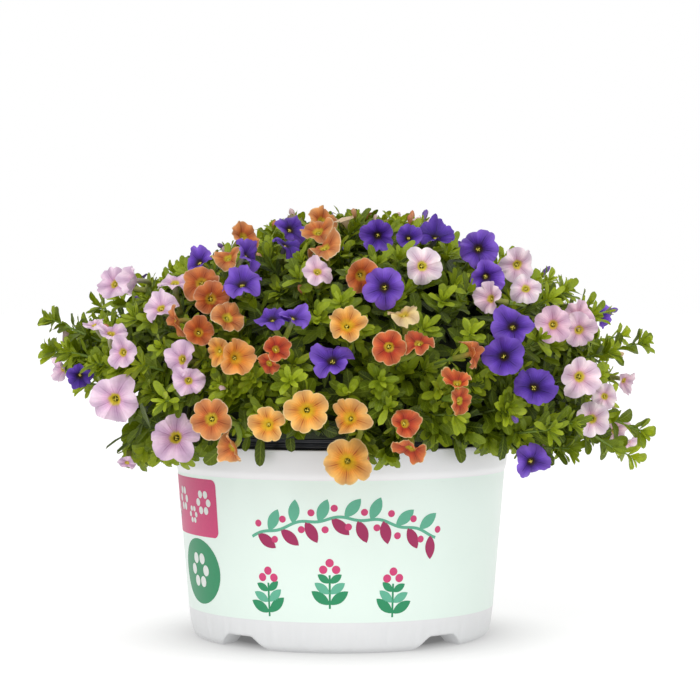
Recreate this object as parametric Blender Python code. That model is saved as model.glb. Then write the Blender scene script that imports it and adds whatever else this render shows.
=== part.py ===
"""Calibrachoa in full bloom, in a white moulded pot with a black inner pot.

Units in this script are millimetres, turned into metres where a mesh is made. +Z is up, the origin is on
the surface the pot stands on, on the pot's axis, and the front of the plant faces -Y. An azimuth is
measured round the pot from the front towards +X.
"""

import math
import random

import bmesh
import bpy
from mathutils import Vector

MM = 0.001
TOUCH = 0.3  # gap between two pieces that rest on each other

# White pot
POT_HEIGHT = 151.0
RIM_RADIUS = 130.0
BAND_HEIGHT = 22.0
BAND_STEP = 1.4
SHOULDER_RADIUS = 127.6
HEEL_RADIUS = 117.8
HEEL_HEIGHT = 12.0
FOOT_OUTER = 111.4
FOOT_INNER = 98.4
FLOOR_UNDER = 11.2
FLOOR_TOP = 13.6
POT_WALL = 2.2
POT_SEGMENTS = 32
NOTCH_AZIMUTHS = (40.5, 139.5, 220.5, 319.5)
NOTCH_HEIGHT = 10.4
NOTCH_TOP_WIDTH = 18.0
NOTCH_FOOT_WIDTH = 50.0
NOTCH_EASE = 3.0
DRAIN_RADIUS = 5.0
DRAIN_RING = 78.0
DRAIN_SIDES = 5

# Black inner pot
LINER_GAP = 0.8
LINER_WALL = 1.6
COLLAR_TOP = 160.0
COLLAR_RIB = 1.3
COLLAR_RIBS = 2
LINER_SEGMENTS = 24
LINER_HEEL = 10.0
LINER_HEEL_STEP = 6.0

# Soil
SOIL_TOP = 143.0
SOIL_CROWN = 4.0
SOIL_HOLE_DEPTH = 14.0
CROWN_STEM_RADIUS = 4.0
CROWN_STEM_RING = 55.0
CROWN_STEM_SIDES = 6

# Mound of foliage: a body of revolution whose section is a superellipse
MOUND_CENTRE = 172.0
MOUND_ACROSS = 218.0
MOUND_UP = 151.0
MOUND_DOWN = 56.0
MOUND_POWER = 2.6
CORE_SHARE = 0.82
CORE_TUFT = 0.065
CORE_SHRINK = 1.2
PLANTS = 5
PLANT_SPAN = 2 * math.pi / PLANTS
CORE_STEPS = 8
CORE_CLEARANCE = 6.0
PLANE_MARGIN = 1.0

# Leaves and shoots
LEAF_LENGTH = 25.0
LEAF_WIDTH = 12.0
LEAF_THICK = 0.8
LEAF_FOLD = 0.3
LEAF_FILL = 1.2
LEAF_TRIES = ((1, 0, 1), (0.7, 0.35, 1), (1.15, -0.5, 0.85), (0.45, 0.9, 0.85), (0.3, -1, 0.7))
SHOOTS = 120
SKIRT_SHOOTS = 36
LEAVES_PER_SHOOT = 13
SHOOT_LOWEST = math.radians(-6.0)
LOWEST_ROOT = math.radians(4.0)
SKIRT_REACH = 158.0
SKIRT_SPREAD = 24.0
SKIRT_HEIGHT = 146.0
SKIRT_FRONT_LIFT = 12.0
SKIRT_RIGHT_LIFT = 13.0
LIFT_BELOW = math.radians(14.0)
LIFT_SPAN = math.radians(20.0)
FRONT_LIFT = math.radians(9.0)
LEFT_LIFT = math.radians(17.0)
HOLLOW_LEFT = 0.18
HOLLOW_RIGHT = 0.10
HOLLOW_AT = math.radians(49.0)
HOLLOW_SPAN = math.radians(16.0)
SHOOT_RADIUS = 1.3
GOLDEN = math.radians(137.508)
ROOT_SHARE = 0.70
SHOOT_STEP = 3
SKIRT_STEP = 3
FIRST_LEAF = 6
LEAF_STEP = 2

# Blooms
PETAL_THICK = 0.8
TUBE_FOOT = 1.7
THROAT_OUTER = 0.155
THROAT_INNER = 0.095
LIMB_DROP = 0.13
LIMB_WAVE = 0.05
NOTCH_SHARE = 0.43
THROAT_PIT = 0.25
SMALL_PIT = 0.09
CALYX_RADIUS = 2.7
CALYX_LENGTH = 5.0
PEDICEL_RADIUS = 1.0
LARGE_BLOOM = 30.5
SMALL_BLOOM = 24.5

COLOURS = {
    "lilac": (0.80, 0.56, 0.74),
    "pink": (0.86, 0.58, 0.70),
    "violet": (0.17, 0.07, 0.52),
    "orange": (0.80, 0.27, 0.08),
    "apricot": (0.85, 0.44, 0.14),
    "red": (0.72, 0.11, 0.06),
    "cream": (0.86, 0.66, 0.38),
}
LEAF_GREEN = (0.12, 0.26, 0.05)

# Each entry is one bloom node: its colour, then its blooms. A bloom is (across, height, size, yaw, pitch,
# inset): where it shows from the front, its diameter, the way it faces in degrees (yaw towards +X, pitch
# upwards), and how far it sits inside the mound's surface. Blooms of one node share one foot.
FRONT_BLOOMS = (
    ("lilac", ((-172, 273, 27, -25, 15, 0), (-154, 275, 24, -50, 10, 0))),
    ("lilac", ((-120, 275, 28, -5, 42, 0), (-130, 256, 26, -40, 25, 0))),
    ("lilac", ((-185, 243, 17, -30, 45, 4), (-167, 238, 25, 0, 42, 0), (-158, 223, 26, -25, -5, 0))),
    ("lilac", ((-113, 219, 28, -35, 0, 0), (-107, 203, 25, -10, -25, 2))),
    ("lilac", ((-164, 188, 36, -22, 0, 0),)),
    ("lilac", ((-119, 163, 38, 0, 5, 20),)),
    ("lilac", ((-219, 207, 24, -55, -10, -2),)),
    ("lilac", ((-160, 138, 15, -10, -50, 12),)),
    ("violet", ((-196, 203, 22, -15, -25, 6),)),
    ("orange", ((-100, 274, 28, -15, 30, 0), (-92, 262, 27, 15, 5, 6), (-79, 249, 26, 15, 35, 6))),
    ("orange", ((-70, 307, 27, 48, 25, 0), (-82, 292, 22, -20, 45, 0))),
    ("orange", ((-13, 320, 26, 30, 20, -4), (-17, 312, 26, -25, 30, -4), (-12, 300, 27, 0, 62, 0))),
    ("orange", ((-118, 245, 24, -65, 0, 0), (-100, 238, 22, -5, 15, 2))),
    ("apricot", ((-86, 225, 22, -35, 15, 0), (-72, 221, 28, 15, 12, -4))),
    ("red", ((-44, 227, 20, 12, 5, -2), (-50, 216, 16, -25, -25, 6))),
    ("orange", ((-91, 177, 31, -5, 5, 8), (-77, 156, 24, -45, -30, 18))),
    ("apricot", ((-23, 184, 32, 0, 0, 2), (-51, 174, 25, -8, -5, 6))),
    ("apricot", ((6, 179, 29, -38, 5, 6), (5, 146, 36, 0, -20, 22))),
    ("apricot", ((5, 244, 28, -10, 35, 0),)),
    ("orange", ((15, 278, 27, 8, 0, 0),)),
    ("red", ((34, 228, 25, 0, 5, 0), (55, 232, 22, 20, 50, 0))),
    ("cream", ((44, 252, 24, -12, 62, 0),)),
    ("orange", ((94, 224, 24, 55, 15, 0),)),
    ("red", ((82, 204, 22, 15, 40, 0), (85, 190, 22, 30, -10, 4))),
    ("red", ((46, 175, 22, 35, 20, 8), (49, 155, 26, -8, -45, 18))),
    ("violet", ((-37, 314, 25, 10, 30, 0), (-39, 302, 24, 10, 60, 0))),
    ("violet", ((-66, 294, 26, 52, 28, 0), (-70, 274, 31, 5, 45, -8))),
    ("violet", ((-104, 289, 24, -35, 30, 0),)),
    ("violet", ((-48, 249, 27, -15, 45, 0), (-32, 250, 23, 15, 50, 0))),
    ("violet", ((-6, 220, 29, 0, 25, 8),)),
    ("violet", ((27, 308, 26, -8, 5, 0), (50, 307, 21, 0, 40, 4), (71, 309, 28, 5, 60, 0))),
    ("violet", ((101, 299, 32, 0, 5, -4), (106, 277, 27, 12, -20, 6))),
    ("violet", ((31, 270, 31, -8, 0, -2),)),
    ("violet", ((123, 243, 32, -20, 15, 0), (116, 221, 31, -12, 10, 0), (139, 200, 32, 5, 30, 0))),
    ("violet", ((140, 142, 28, 22, -18, 10),)),
    ("violet", ((202, 248, 22, 60, 10, 0),)),
    ("pink", ((-16, 282, 23, 0, 50, 0),)),
    ("pink", ((59, 285, 29, 0, 12, 0),)),
    ("pink", ((131, 286, 28, 25, -12, 0), (135, 270, 25, 0, 15, 0))),
    ("pink", ((107, 262, 24, -58, 10, 9),)),
    ("pink", ((155, 243, 27, 15, 15, 0), (174, 250, 24, -30, 20, 0), (176, 238, 27, 20, -15, 0))),
    ("pink", ((175, 205, 32, 5, 0, -2),)),
    ("pink", ((222, 197, 19, 50, -10, 0),)),
    ("pink", ((186, 173, 26, -8, 0, 4), (197, 189, 20, 15, 15, 2))),
    ("pink", ((212, 160, 26, 30, -8, 2), (225, 148, 18, 35, -35, 0))),
)

# Trusses on the side that faces away: (azimuth, elevation on the mound) in degrees and a colour
BACK_TRUSSES = (
    (117, 4, "pink"),
    (150, 9, "orange"),
    (186, 3, "violet"),
    (222, 10, "lilac"),
    (139, 33, "violet"),
    (181, 36, "apricot"),
    (226, 28, "orange"),
)
BACK_BLOOMS = 4
BACK_SPREAD = 21.0
BACK_SIZE = 29.0
BACK_SHARE = 0.975


def mound_polar(elevation):
    """Distance from the mound's centre to its surface, at an elevation."""
    rise = MOUND_UP if elevation >= 0 else MOUND_DOWN
    across = abs(math.cos(elevation)) / MOUND_ACROSS
    upward = abs(math.sin(elevation)) / rise
    return (across**MOUND_POWER + upward**MOUND_POWER) ** (-1 / MOUND_POWER)


def mound_point(azimuth, elevation, share=1.0):
    """A point at a share of the way from the mound's centre to its surface."""
    polar = share * mound_polar(elevation)
    across = polar * math.cos(elevation)
    return Vector(
        (across * math.sin(azimuth), -across * math.cos(azimuth), MOUND_CENTRE + polar * math.sin(elevation))
    )


def shoot_point(azimuth, elevation, share):
    """A point on a shoot. Shoots droop less over the pot's front and on the left, and high on either side
    they are shorter."""
    left, right = max(0.0, -math.sin(azimuth)) ** 2, max(0.0, math.sin(azimuth)) ** 2
    low = min(1.0, max(0.0, (LIFT_BELOW - elevation) / LIFT_SPAN))
    lift = FRONT_LIFT * math.cos(azimuth) ** 2 + LEFT_LIFT * left
    hollow = HOLLOW_LEFT * left + HOLLOW_RIGHT * right
    hollow *= math.exp(-(((elevation - HOLLOW_AT) / HOLLOW_SPAN) ** 2))
    return mound_point(azimuth, elevation + lift * low, share * (1 - hollow))


def mound_reach(height):
    """The mound's radius at a height."""
    rise = MOUND_UP if height >= MOUND_CENTRE else MOUND_DOWN
    upward = min(1.0, abs(height - MOUND_CENTRE) / rise)
    return MOUND_ACROSS * (1 - upward**MOUND_POWER) ** (1 / MOUND_POWER)


def angles_of(point):
    """Azimuth and elevation of a point, seen from the mound's centre."""
    across = math.hypot(point.x, point.y)
    return math.atan2(point.x, -point.y), math.atan2(point.z - MOUND_CENTRE, across)


def facing_of(yaw, pitch):
    yaw, pitch = math.radians(yaw), math.radians(pitch)
    return Vector((math.sin(yaw) * math.cos(pitch), -math.cos(yaw) * math.cos(pitch), math.sin(pitch)))


def plant_of(azimuth):
    """Which of the plants round the pot owns an azimuth. Plant 0 faces the front."""
    return int(((azimuth + PLANT_SPAN / 2) % (2 * math.pi)) / PLANT_SPAN)


def plane_distance(point, plant):
    """How far a point lies inside the two upright planes that bound a plant's share of the pot."""
    middle = plant * PLANT_SPAN
    low, high = middle - PLANT_SPAN / 2, middle + PLANT_SPAN / 2
    inside_low = point.x * math.cos(low) + point.y * math.sin(low)
    inside_high = -(point.x * math.cos(high) + point.y * math.sin(high))
    return min(inside_low, inside_high)


def kept_in_plant(point, plant, margin):
    """The point moved round the pot until it is at least the margin inside its plant's planes."""
    middle = plant * PLANT_SPAN
    outward = Vector((math.sin(middle), -math.cos(middle), 0))
    lack = margin - plane_distance(point, plant)
    return point + outward * (lack / math.sin(PLANT_SPAN / 2)) if lack > 0 else point


def frame_along(direction, spin=0.0):
    """Two unit vectors at right angles to a direction and to each other."""
    helper = Vector((0, 0, 1)) if abs(direction.z) < 0.9 else Vector((1, 0, 0))
    side = direction.cross(helper).normalized()
    other = direction.cross(side).normalized()
    return (
        side * math.cos(spin) + other * math.sin(spin),
        other * math.cos(spin) - side * math.sin(spin),
    )


def truss(colour, blooms):
    """One bloom node: its blooms, the foot where their tubes meet, and the way that foot points."""
    centre = sum((b["centre"] for b in blooms), Vector()) / len(blooms)
    aim = sum((b["facing"] for b in blooms), Vector()).normalized()
    if len(blooms) == 1:
        foot = centre - aim * (0.62 * blooms[0]["size"] + 2)
    else:
        spread = max((b["centre"] - centre).length for b in blooms)
        foot = centre - aim * (21 + 0.3 * spread)
        for _ in range(12):
            for b in blooms:
                lack = 0.45 * b["size"] - (b["centre"] - foot).dot(b["facing"])
                if lack > 0:
                    foot = foot - b["facing"] * lack
        aim = (centre - foot).normalized()
    plant = plant_of(angles_of(foot)[0])
    foot = kept_in_plant(foot, plant, CALYX_RADIUS + PLANE_MARGIN + 1.0)
    for b in blooms:
        b["foot"] = foot
    return {"colour": colour, "blooms": blooms, "foot": foot, "aim": aim, "plant": plant}


def bloom_layout():
    """Every truss of blooms: those read off the front view, and those on the side that faces away."""
    trusses = []
    for colour, listed in FRONT_BLOOMS:
        blooms = []
        for across, height, size, yaw, pitch, inset in listed:
            reach = mound_reach(height) - inset
            depth = math.sqrt(max(reach * reach - across * across, 0.0))
            spin = random.Random(f"{across} {height}").uniform(0, 2 * math.pi)
            blooms.append(
                {
                    "centre": Vector((across, -depth, height)),
                    "facing": facing_of(yaw, pitch),
                    "size": size,
                    "spin": spin,
                }
            )
        trusses.append(truss(colour, blooms))
    for azimuth, elevation, colour in BACK_TRUSSES:
        azimuth, elevation = math.radians(azimuth), math.radians(elevation)
        middle = mound_point(azimuth, elevation, BACK_SHARE)
        outward = (middle - mound_point(azimuth, elevation, CORE_SHARE)).normalized()
        side, other = frame_along(outward)
        rng = random.Random(f"back {azimuth:.3f}")
        start = rng.uniform(0, 2 * math.pi)
        blooms = []
        for k in range(BACK_BLOOMS):
            turn = start + k * 2 * math.pi / BACK_BLOOMS
            lean = side * math.cos(turn) + other * math.sin(turn)
            blooms.append(
                {
                    "centre": middle + lean * BACK_SPREAD + outward * rng.uniform(-3, 3),
                    "facing": (outward + lean * 0.5).normalized(),
                    "size": BACK_SIZE * rng.uniform(0.88, 1.05),
                    "spin": rng.uniform(0, 2 * math.pi),
                }
            )
        trusses.append(truss(colour, blooms))
    return trusses


def is_free(point, blooms, margin):
    """True where a leaf or a shoot may pass: clear of every bloom and its tube, of the view into each
    bloom, and of the pot."""
    if point.z < COLLAR_TOP + 4 and math.hypot(point.x, point.y) < RIM_RADIUS + 3:
        return False
    for b in blooms:
        away = point - b["centre"]
        if away.length > 0.5 * b["size"] + 34:
            continue
        ahead = away.dot(b["facing"])
        around = (away - b["facing"] * ahead).length
        if -LIMB_DROP * b["size"] - margin < ahead < 4 + margin and around < 0.5 * b["size"] + margin:
            return False
        if 0 <= ahead < 15 and around < 0.42 * b["size"]:
            return False
        tube = b["foot"] - b["centre"]
        along = min(1.0, max(0.0, away.dot(tube) / tube.length_squared))
        radius = (1 - along) * THROAT_OUTER * b["size"] + along * TUBE_FOOT
        if (away - tube * along).length < radius + margin:
            return False
    return True


def leaf_samples(leaf):
    """Points along a leaf's middle and both its edges."""
    across = leaf["direction"].cross(leaf["normal"])
    samples = []
    for t in (0.25, 0.5, 0.75, 1.0):
        middle = (
            leaf["base"]
            + leaf["direction"] * leaf["length"] * t
            - leaf["normal"] * leaf["arch"] * leaf["length"] * t * t
        )
        samples.append(middle)
        if t < 1:
            samples += [middle + across * leaf["width"] / 2, middle - across * leaf["width"] / 2]
    return samples


def leaf_layout(points, share, turn, plant, blooms, rng):
    """A leaf on a shoot, at a share of its length. It is bent clear of what it would cross, or left out."""
    base = points[0].lerp(points[-1], share)
    axis = (points[-1] - points[0]).normalized()
    side, other = frame_along(axis)
    size = (1.12 - 0.42 * share) * rng.uniform(0.85, 1.12)
    slim = rng.uniform(0.85, 1.1) * (1.0 - 0.25 * share)
    lean = math.radians(72 - 36 * share) + rng.uniform(-0.12, 0.12)
    arch = rng.uniform(0.05, 0.28)
    for bend, swing, shorter in LEAF_TRIES:
        angle = turn + swing
        radial = side * math.cos(angle) + other * math.sin(angle)
        leaf = {
            "base": base,
            "direction": (axis * math.cos(lean * bend) + radial * math.sin(lean * bend)).normalized(),
            "normal": (axis * math.sin(lean * bend) - radial * math.cos(lean * bend)).normalized(),
            "length": LEAF_LENGTH * size * shorter,
            "width": LEAF_WIDTH * size * slim,
            "arch": arch,
        }
        samples = leaf_samples(leaf)
        if all(plane_distance(p, plant) > PLANE_MARGIN for p in samples + [base]) and all(
            is_free(p, blooms, 2.0) for p in samples
        ):
            return leaf
    return None


def shoot_layout(index, blooms):
    """A leafy shoot: the two ends of its stem, its plant, and its leaves in order."""
    rng = random.Random(1000 + index)
    if index < SHOOTS:
        low = math.sin(SHOOT_LOWEST)
        elevation = math.asin(low + (1 - low) * (index + 0.5) / SHOOTS)
        azimuth = index * GOLDEN
        root = shoot_point(azimuth, elevation, ROOT_SHARE)
        turn, rise, share = rng.uniform(-0.06, 0.06), rng.uniform(-0.02, 0.08), rng.uniform(0.93, 1.0)
        tip = shoot_point(azimuth + turn, elevation + rise, share)
    else:
        azimuth = (index - SHOOTS + 0.5) * 2 * math.pi / SKIRT_SHOOTS + rng.uniform(-0.05, 0.05)
        outward = Vector((math.sin(azimuth), -math.cos(azimuth), 0))
        root = mound_point(azimuth, LOWEST_ROOT, ROOT_SHARE)
        reach = SKIRT_REACH + SKIRT_SPREAD * max(0.0, math.sin(azimuth)) ** 2 + rng.uniform(-8, 6)
        height = SKIRT_HEIGHT + SKIRT_FRONT_LIFT * math.cos(azimuth) ** 2 + rng.uniform(-8, 8)
        height += SKIRT_RIGHT_LIFT * max(0.0, math.sin(azimuth)) ** 2
        tip = outward * reach + Vector((0, 0, height))
    plant = plant_of(angles_of(root)[0])
    points = [kept_in_plant(p, plant, SHOOT_RADIUS + PLANE_MARGIN + 0.5) for p in (root, tip)]
    stem = [points[0].lerp(points[1], t) for t in (0.35, 0.5, 0.65, 0.8, 0.9, 1.0)]
    if not all(is_free(p, blooms, SHOOT_RADIUS + 1.2) for p in stem):
        return None
    leaves = []
    for k in range(LEAVES_PER_SHOOT):
        share = 0.34 + 0.66 * k / (LEAVES_PER_SHOOT - 1)
        leaf = leaf_layout(points, share, k * GOLDEN, plant, blooms, rng)
        leaves.append(leaf)
    return {"points": points, "plant": plant, "leaves": leaves}


def pedicel_root(bunch):
    """Where the green stalk of a truss starts, inside the plant's core."""
    azimuth, elevation = angles_of(bunch["foot"] - bunch["aim"] * CALYX_LENGTH * 2)
    root = mound_point(azimuth, max(elevation, LOWEST_ROOT), ROOT_SHARE)
    return kept_in_plant(root, bunch["plant"], PEDICEL_RADIUS + PLANE_MARGIN + 1.0)


def material(name, colour, roughness):
    made = bpy.data.materials.get(name)
    if made is None:
        made = bpy.data.materials.new(name)
        made.use_nodes = True
        shader = made.node_tree.nodes["Principled BSDF"]
        shader.inputs["Base Color"].default_value = (*colour, 1)
        shader.inputs["Roughness"].default_value = roughness
        shader.inputs["Metallic"].default_value = 0.0
    return made


def add_object(name, points, faces, finish=None, origin=None):
    """An object with its origin at a point in millimetres, from a mesh in millimetres."""
    origin = origin or Vector()
    mesh = bpy.data.meshes.new(name)
    mesh.from_pydata([(Vector(p) - origin) * MM for p in points], [], faces)
    shape = bmesh.new()
    shape.from_mesh(mesh)
    bmesh.ops.recalc_face_normals(shape, faces=shape.faces)
    shape.to_mesh(mesh)
    shape.free()
    if finish is not None:
        mesh.materials.append(finish)
    made = bpy.data.objects.new(name, mesh)
    made.location = origin * MM
    bpy.context.scene.collection.objects.link(made)
    return made


def turned(profile, segments):
    """Points and faces of a profile of (radius, height), from axis to axis, turned round +Z."""
    points, rings = [], []
    for radius, height in profile:
        if radius == 0:
            rings.append([len(points)])
            points.append((0, 0, height))
        else:
            rings.append(range(len(points), len(points) + segments))
            for k in range(segments):
                turn = 2 * math.pi * k / segments
                points.append((radius * math.sin(turn), -radius * math.cos(turn), height))
    faces = []
    for low, high in zip(rings, rings[1:]):
        for k in range(segments):
            nxt = (k + 1) % segments
            if len(low) == 1:
                faces.append((low[0], high[k], high[nxt]))
            elif len(high) == 1:
                faces.append((low[k], high[0], low[nxt]))
            else:
                faces.append((low[k], high[k], high[nxt], low[nxt]))
    return points, faces


def tube(points, radii, sides):
    """Points and faces of a closed tube along a line of points."""
    made, faces = [], []
    for k, point in enumerate(points):
        ahead = points[min(k + 1, len(points) - 1)] - points[max(k - 1, 0)]
        side, other = frame_along(ahead.normalized())
        for s in range(sides):
            turn = 2 * math.pi * s / sides
            made.append(point + (side * math.cos(turn) + other * math.sin(turn)) * radii[k])
    for k in range(len(points) - 1):
        for s in range(sides):
            nxt = (s + 1) % sides
            faces.append((k * sides + s, k * sides + nxt, (k + 1) * sides + nxt, (k + 1) * sides + s))
    faces.append(tuple(range(sides - 1, -1, -1)))
    faces.append(tuple(range((len(points) - 1) * sides, len(points) * sides)))
    return made, faces


def hide_cutter(cutter):
    cutter.hide_render = True
    cutter.display_type = "WIRE"


def cut(target, cutter):
    hide_cutter(cutter)
    modifier = target.modifiers.new("Cut", "BOOLEAN")
    modifier.operation = "DIFFERENCE"
    modifier.object = cutter
    modifier.solver = "EXACT"


def keep_largest_body(mesh):
    """Drops loose scraps and fills sealed hollows, which are the smaller surfaces of the mesh."""
    shape = bmesh.new()
    shape.from_mesh(mesh)
    unseen, bodies = set(shape.verts), []
    while unseen:
        body, edge = set(), [unseen.pop()]
        while edge:
            vertex = edge.pop()
            body.add(vertex)
            for link in vertex.link_edges:
                other = link.other_vert(vertex)
                if other in unseen:
                    unseen.remove(other)
                    edge.append(other)
        bodies.append(body)
    bodies.sort(key=len)
    for body in bodies[:-1]:
        bmesh.ops.delete(shape, geom=list(body), context="VERTS")
    shape.to_mesh(mesh)
    shape.free()


def fuse(base, pieces):
    """Joins the pieces to the base in one solid, and removes them."""
    if not pieces:
        return
    group = bpy.data.collections.new(base.name + "_pieces")
    bpy.context.scene.collection.children.link(group)
    for piece in pieces:
        bpy.context.scene.collection.objects.unlink(piece)
        group.objects.link(piece)
    modifier = base.modifiers.new("Fuse", "BOOLEAN")
    modifier.operation = "UNION"
    modifier.operand_type = "COLLECTION"
    modifier.collection = group
    modifier.solver = "MANIFOLD"
    graph = bpy.context.evaluated_depsgraph_get()
    joined = bpy.data.meshes.new_from_object(base.evaluated_get(graph))
    base.modifiers.clear()
    base.data = joined
    for piece in pieces:
        bpy.data.objects.remove(piece)
    bpy.data.collections.remove(group)
    keep_largest_body(joined)


def prism(outline, low, high):
    """Points and faces of an outline of (x, y) points, raised from one height to another."""
    count = len(outline)
    points = [(x, y, low) for x, y in outline] + [(x, y, high) for x, y in outline]
    faces = [tuple(range(count - 1, -1, -1)), tuple(range(count, 2 * count))]
    for k in range(count):
        nxt = (k + 1) % count
        faces.append((k, nxt, count + nxt, count + k))
    return points, faces


def joined(shapes):
    """Several shapes' points and faces as one list of each."""
    points, faces = [], []
    for some_points, some_faces in shapes:
        start = len(points)
        points += list(some_points)
        faces += [tuple(start + index for index in face) for face in some_faces]
    return points, faces


def round_prism(ring, radius, sides, azimuth, low, high):
    """An upright rod whose axis stands on a ring about the pot's axis."""
    x, y = ring * math.sin(azimuth), -ring * math.cos(azimuth)
    turns = [azimuth + 2 * math.pi * k / sides for k in range(sides)]
    return prism([(x + radius * math.cos(t), y + radius * math.sin(t)) for t in turns], low, high)


def drain_cutters(low, high):
    azimuths = [math.radians(a) for a in NOTCH_AZIMUTHS]
    return joined([round_prism(DRAIN_RING, DRAIN_RADIUS, DRAIN_SIDES, a, low, high) for a in azimuths])


def notch_cutters():
    """Four wedges that leave the pot standing on feet: wide at the surface and narrow at the top."""
    shapes = []
    low, foot, top = -4.0, NOTCH_FOOT_WIDTH / 2, NOTCH_TOP_WIDTH / 2
    shoulder = (top + NOTCH_EASE, NOTCH_HEIGHT - NOTCH_EASE)
    half = ((foot + NOTCH_EASE, low), (foot, 0), shoulder, (top, NOTCH_HEIGHT))
    section = half + tuple((-w, z) for w, z in reversed(half))
    count = len(section)
    for azimuth in NOTCH_AZIMUTHS:
        outward = Vector((math.sin(math.radians(azimuth)), -math.cos(math.radians(azimuth)), 0))
        along = Vector((outward.y, -outward.x, 0))
        ends = (FOOT_INNER - 20, RIM_RADIUS)
        points = [outward * r + along * w + Vector((0, 0, z)) for r in ends for w, z in section]
        faces = [tuple(range(count)), tuple(range(2 * count - 1, count - 1, -1))]
        for k in range(count):
            nxt = (k + 1) % count
            faces.append((k, count + k, count + nxt, nxt))
        shapes.append((points, faces))
    return joined(shapes)


def wall_radius(height):
    """The white pot's outer radius below its rim band."""
    share = (height - HEEL_HEIGHT) / (POT_HEIGHT - BAND_HEIGHT - HEEL_HEIGHT)
    return HEEL_RADIUS + share * (SHOULDER_RADIUS - HEEL_RADIUS)


def build_pot():
    band = POT_HEIGHT - BAND_HEIGHT
    profile = (
        (0, FLOOR_UNDER),
        (FOOT_INNER - 1, FLOOR_UNDER),
        (FOOT_INNER, 0),
        (FOOT_OUTER, 0),
        (FOOT_OUTER + 4.4, 3.4),
        (HEEL_RADIUS, HEEL_HEIGHT),
        (SHOULDER_RADIUS, band),
        (SHOULDER_RADIUS + BAND_STEP, band + 2),
        (RIM_RADIUS, POT_HEIGHT),
        (RIM_RADIUS - POT_WALL, POT_HEIGHT),
        (SHOULDER_RADIUS - POT_WALL, band),
        (wall_radius(FLOOR_TOP) - POT_WALL, FLOOR_TOP),
        (0, FLOOR_TOP),
    )
    finish = material("white_plastic", (0.86, 0.87, 0.86), 0.35)
    pot = add_object("pot", *turned(profile, POT_SEGMENTS), finish)
    notches = add_object("cutter_notches", *notch_cutters())
    cut(pot, notches)
    cut(pot, add_object("cutter_pot_drains", *drain_cutters(FLOOR_UNDER - 3, FLOOR_TOP + 3)))
    pot.data.shade_smooth()
    pot.data.set_sharp_from_angle(angle=math.radians(35))


def liner_outer(height):
    """The inner pot's outer radius: a fixed gap inside the white pot's wall."""
    return wall_radius(min(height, POT_HEIGHT - BAND_HEIGHT)) - POT_WALL - LINER_GAP


def liner_inner(height):
    """The inner pot's inner radius above its heel."""
    low = FLOOR_TOP + TOUCH + LINER_HEEL
    share = (height - low) / (COLLAR_TOP - low)
    bottom, top = liner_outer(low) - LINER_WALL, liner_outer(COLLAR_TOP) - LINER_WALL
    return bottom + share * (top - bottom)


def build_liner():
    floor = FLOOR_TOP + TOUCH
    heel = floor + LINER_HEEL
    collar = liner_outer(COLLAR_TOP)
    profile = [(0, floor), (liner_outer(heel) - LINER_HEEL_STEP, floor), (liner_outer(heel), heel)]
    profile.append((collar, POT_HEIGHT - BAND_HEIGHT))
    pitch = (COLLAR_TOP - POT_HEIGHT + 5) / (COLLAR_RIBS + 0.5)
    for k in range(COLLAR_RIBS):
        top = COLLAR_TOP - k * pitch
        profile.insert(4, (collar + COLLAR_RIB, top))
        profile.insert(4, (collar, top - 0.45 * pitch))
    profile.append((collar - LINER_WALL, COLLAR_TOP))
    profile.append((liner_inner(heel), heel))
    profile.append((liner_inner(heel) - LINER_HEEL_STEP, floor + LINER_WALL))
    profile.append((0, floor + LINER_WALL))
    finish = material("black_plastic", (0.02, 0.02, 0.022), 0.4)
    liner = add_object("inner_pot", *turned(profile, LINER_SEGMENTS), finish)
    cut(liner, add_object("cutter_liner_drains", *drain_cutters(floor - 3, floor + LINER_WALL + 3)))
    liner.data.shade_smooth()
    liner.data.set_sharp_from_angle(angle=math.radians(35))


def crown_stem(plant, radius, lift):
    """The foot of a plant's woody stem, or at a larger radius the hole that it stands in."""
    low = SOIL_TOP - SOIL_HOLE_DEPTH + lift
    return round_prism(CROWN_STEM_RING, radius, CROWN_STEM_SIDES, plant * PLANT_SPAN, low, SOIL_TOP + 20)


def soil_height(radius):
    return SOIL_TOP + SOIL_CROWN * (1 - (radius / CROWN_STEM_RING / 2) ** 2)


def build_soil():
    floor = FLOOR_TOP + 2 * TOUCH + LINER_WALL
    heel = FLOOR_TOP + TOUCH + LINER_HEEL
    gap = TOUCH + 0.2
    edge, ring = SOIL_TOP - 3, CROWN_STEM_RING + 14
    wall = liner_inner(heel) - gap
    profile = ((0, floor), (wall - LINER_HEEL_STEP, floor), (wall, heel + TOUCH))
    profile += ((liner_inner(edge) - gap, edge), (ring, soil_height(ring)), (0, soil_height(0)))
    points, faces = turned(profile, LINER_SEGMENTS)
    rng = random.Random(7)
    points = [Vector(p) + Vector((0, 0, rng.uniform(-1.2, 0.8) if p[2] > edge - 1 else 0)) for p in points]
    soil = add_object("soil", points, faces, material("soil", (0.06, 0.035, 0.02), 0.95))
    hole = CROWN_STEM_RADIUS + TOUCH + 0.2
    holes = [crown_stem(plant, hole, 0) for plant in range(PLANTS)]
    cut(soil, add_object("cutter_soil_holes", *joined(holes)))


def tuft_point(azimuth, elevation, raised, blooms):
    """A point of the core's surface, the tip of a leafy tuft or the hollow between tufts. It is drawn in
    until it is clear of the blooms."""
    share = CORE_SHARE + (CORE_TUFT if raised else -CORE_TUFT)
    while share > ROOT_SHARE:
        point = mound_point(azimuth, elevation, share)
        if is_free(point, blooms, CORE_CLEARANCE):
            break
        share -= 0.02
    return point


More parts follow.
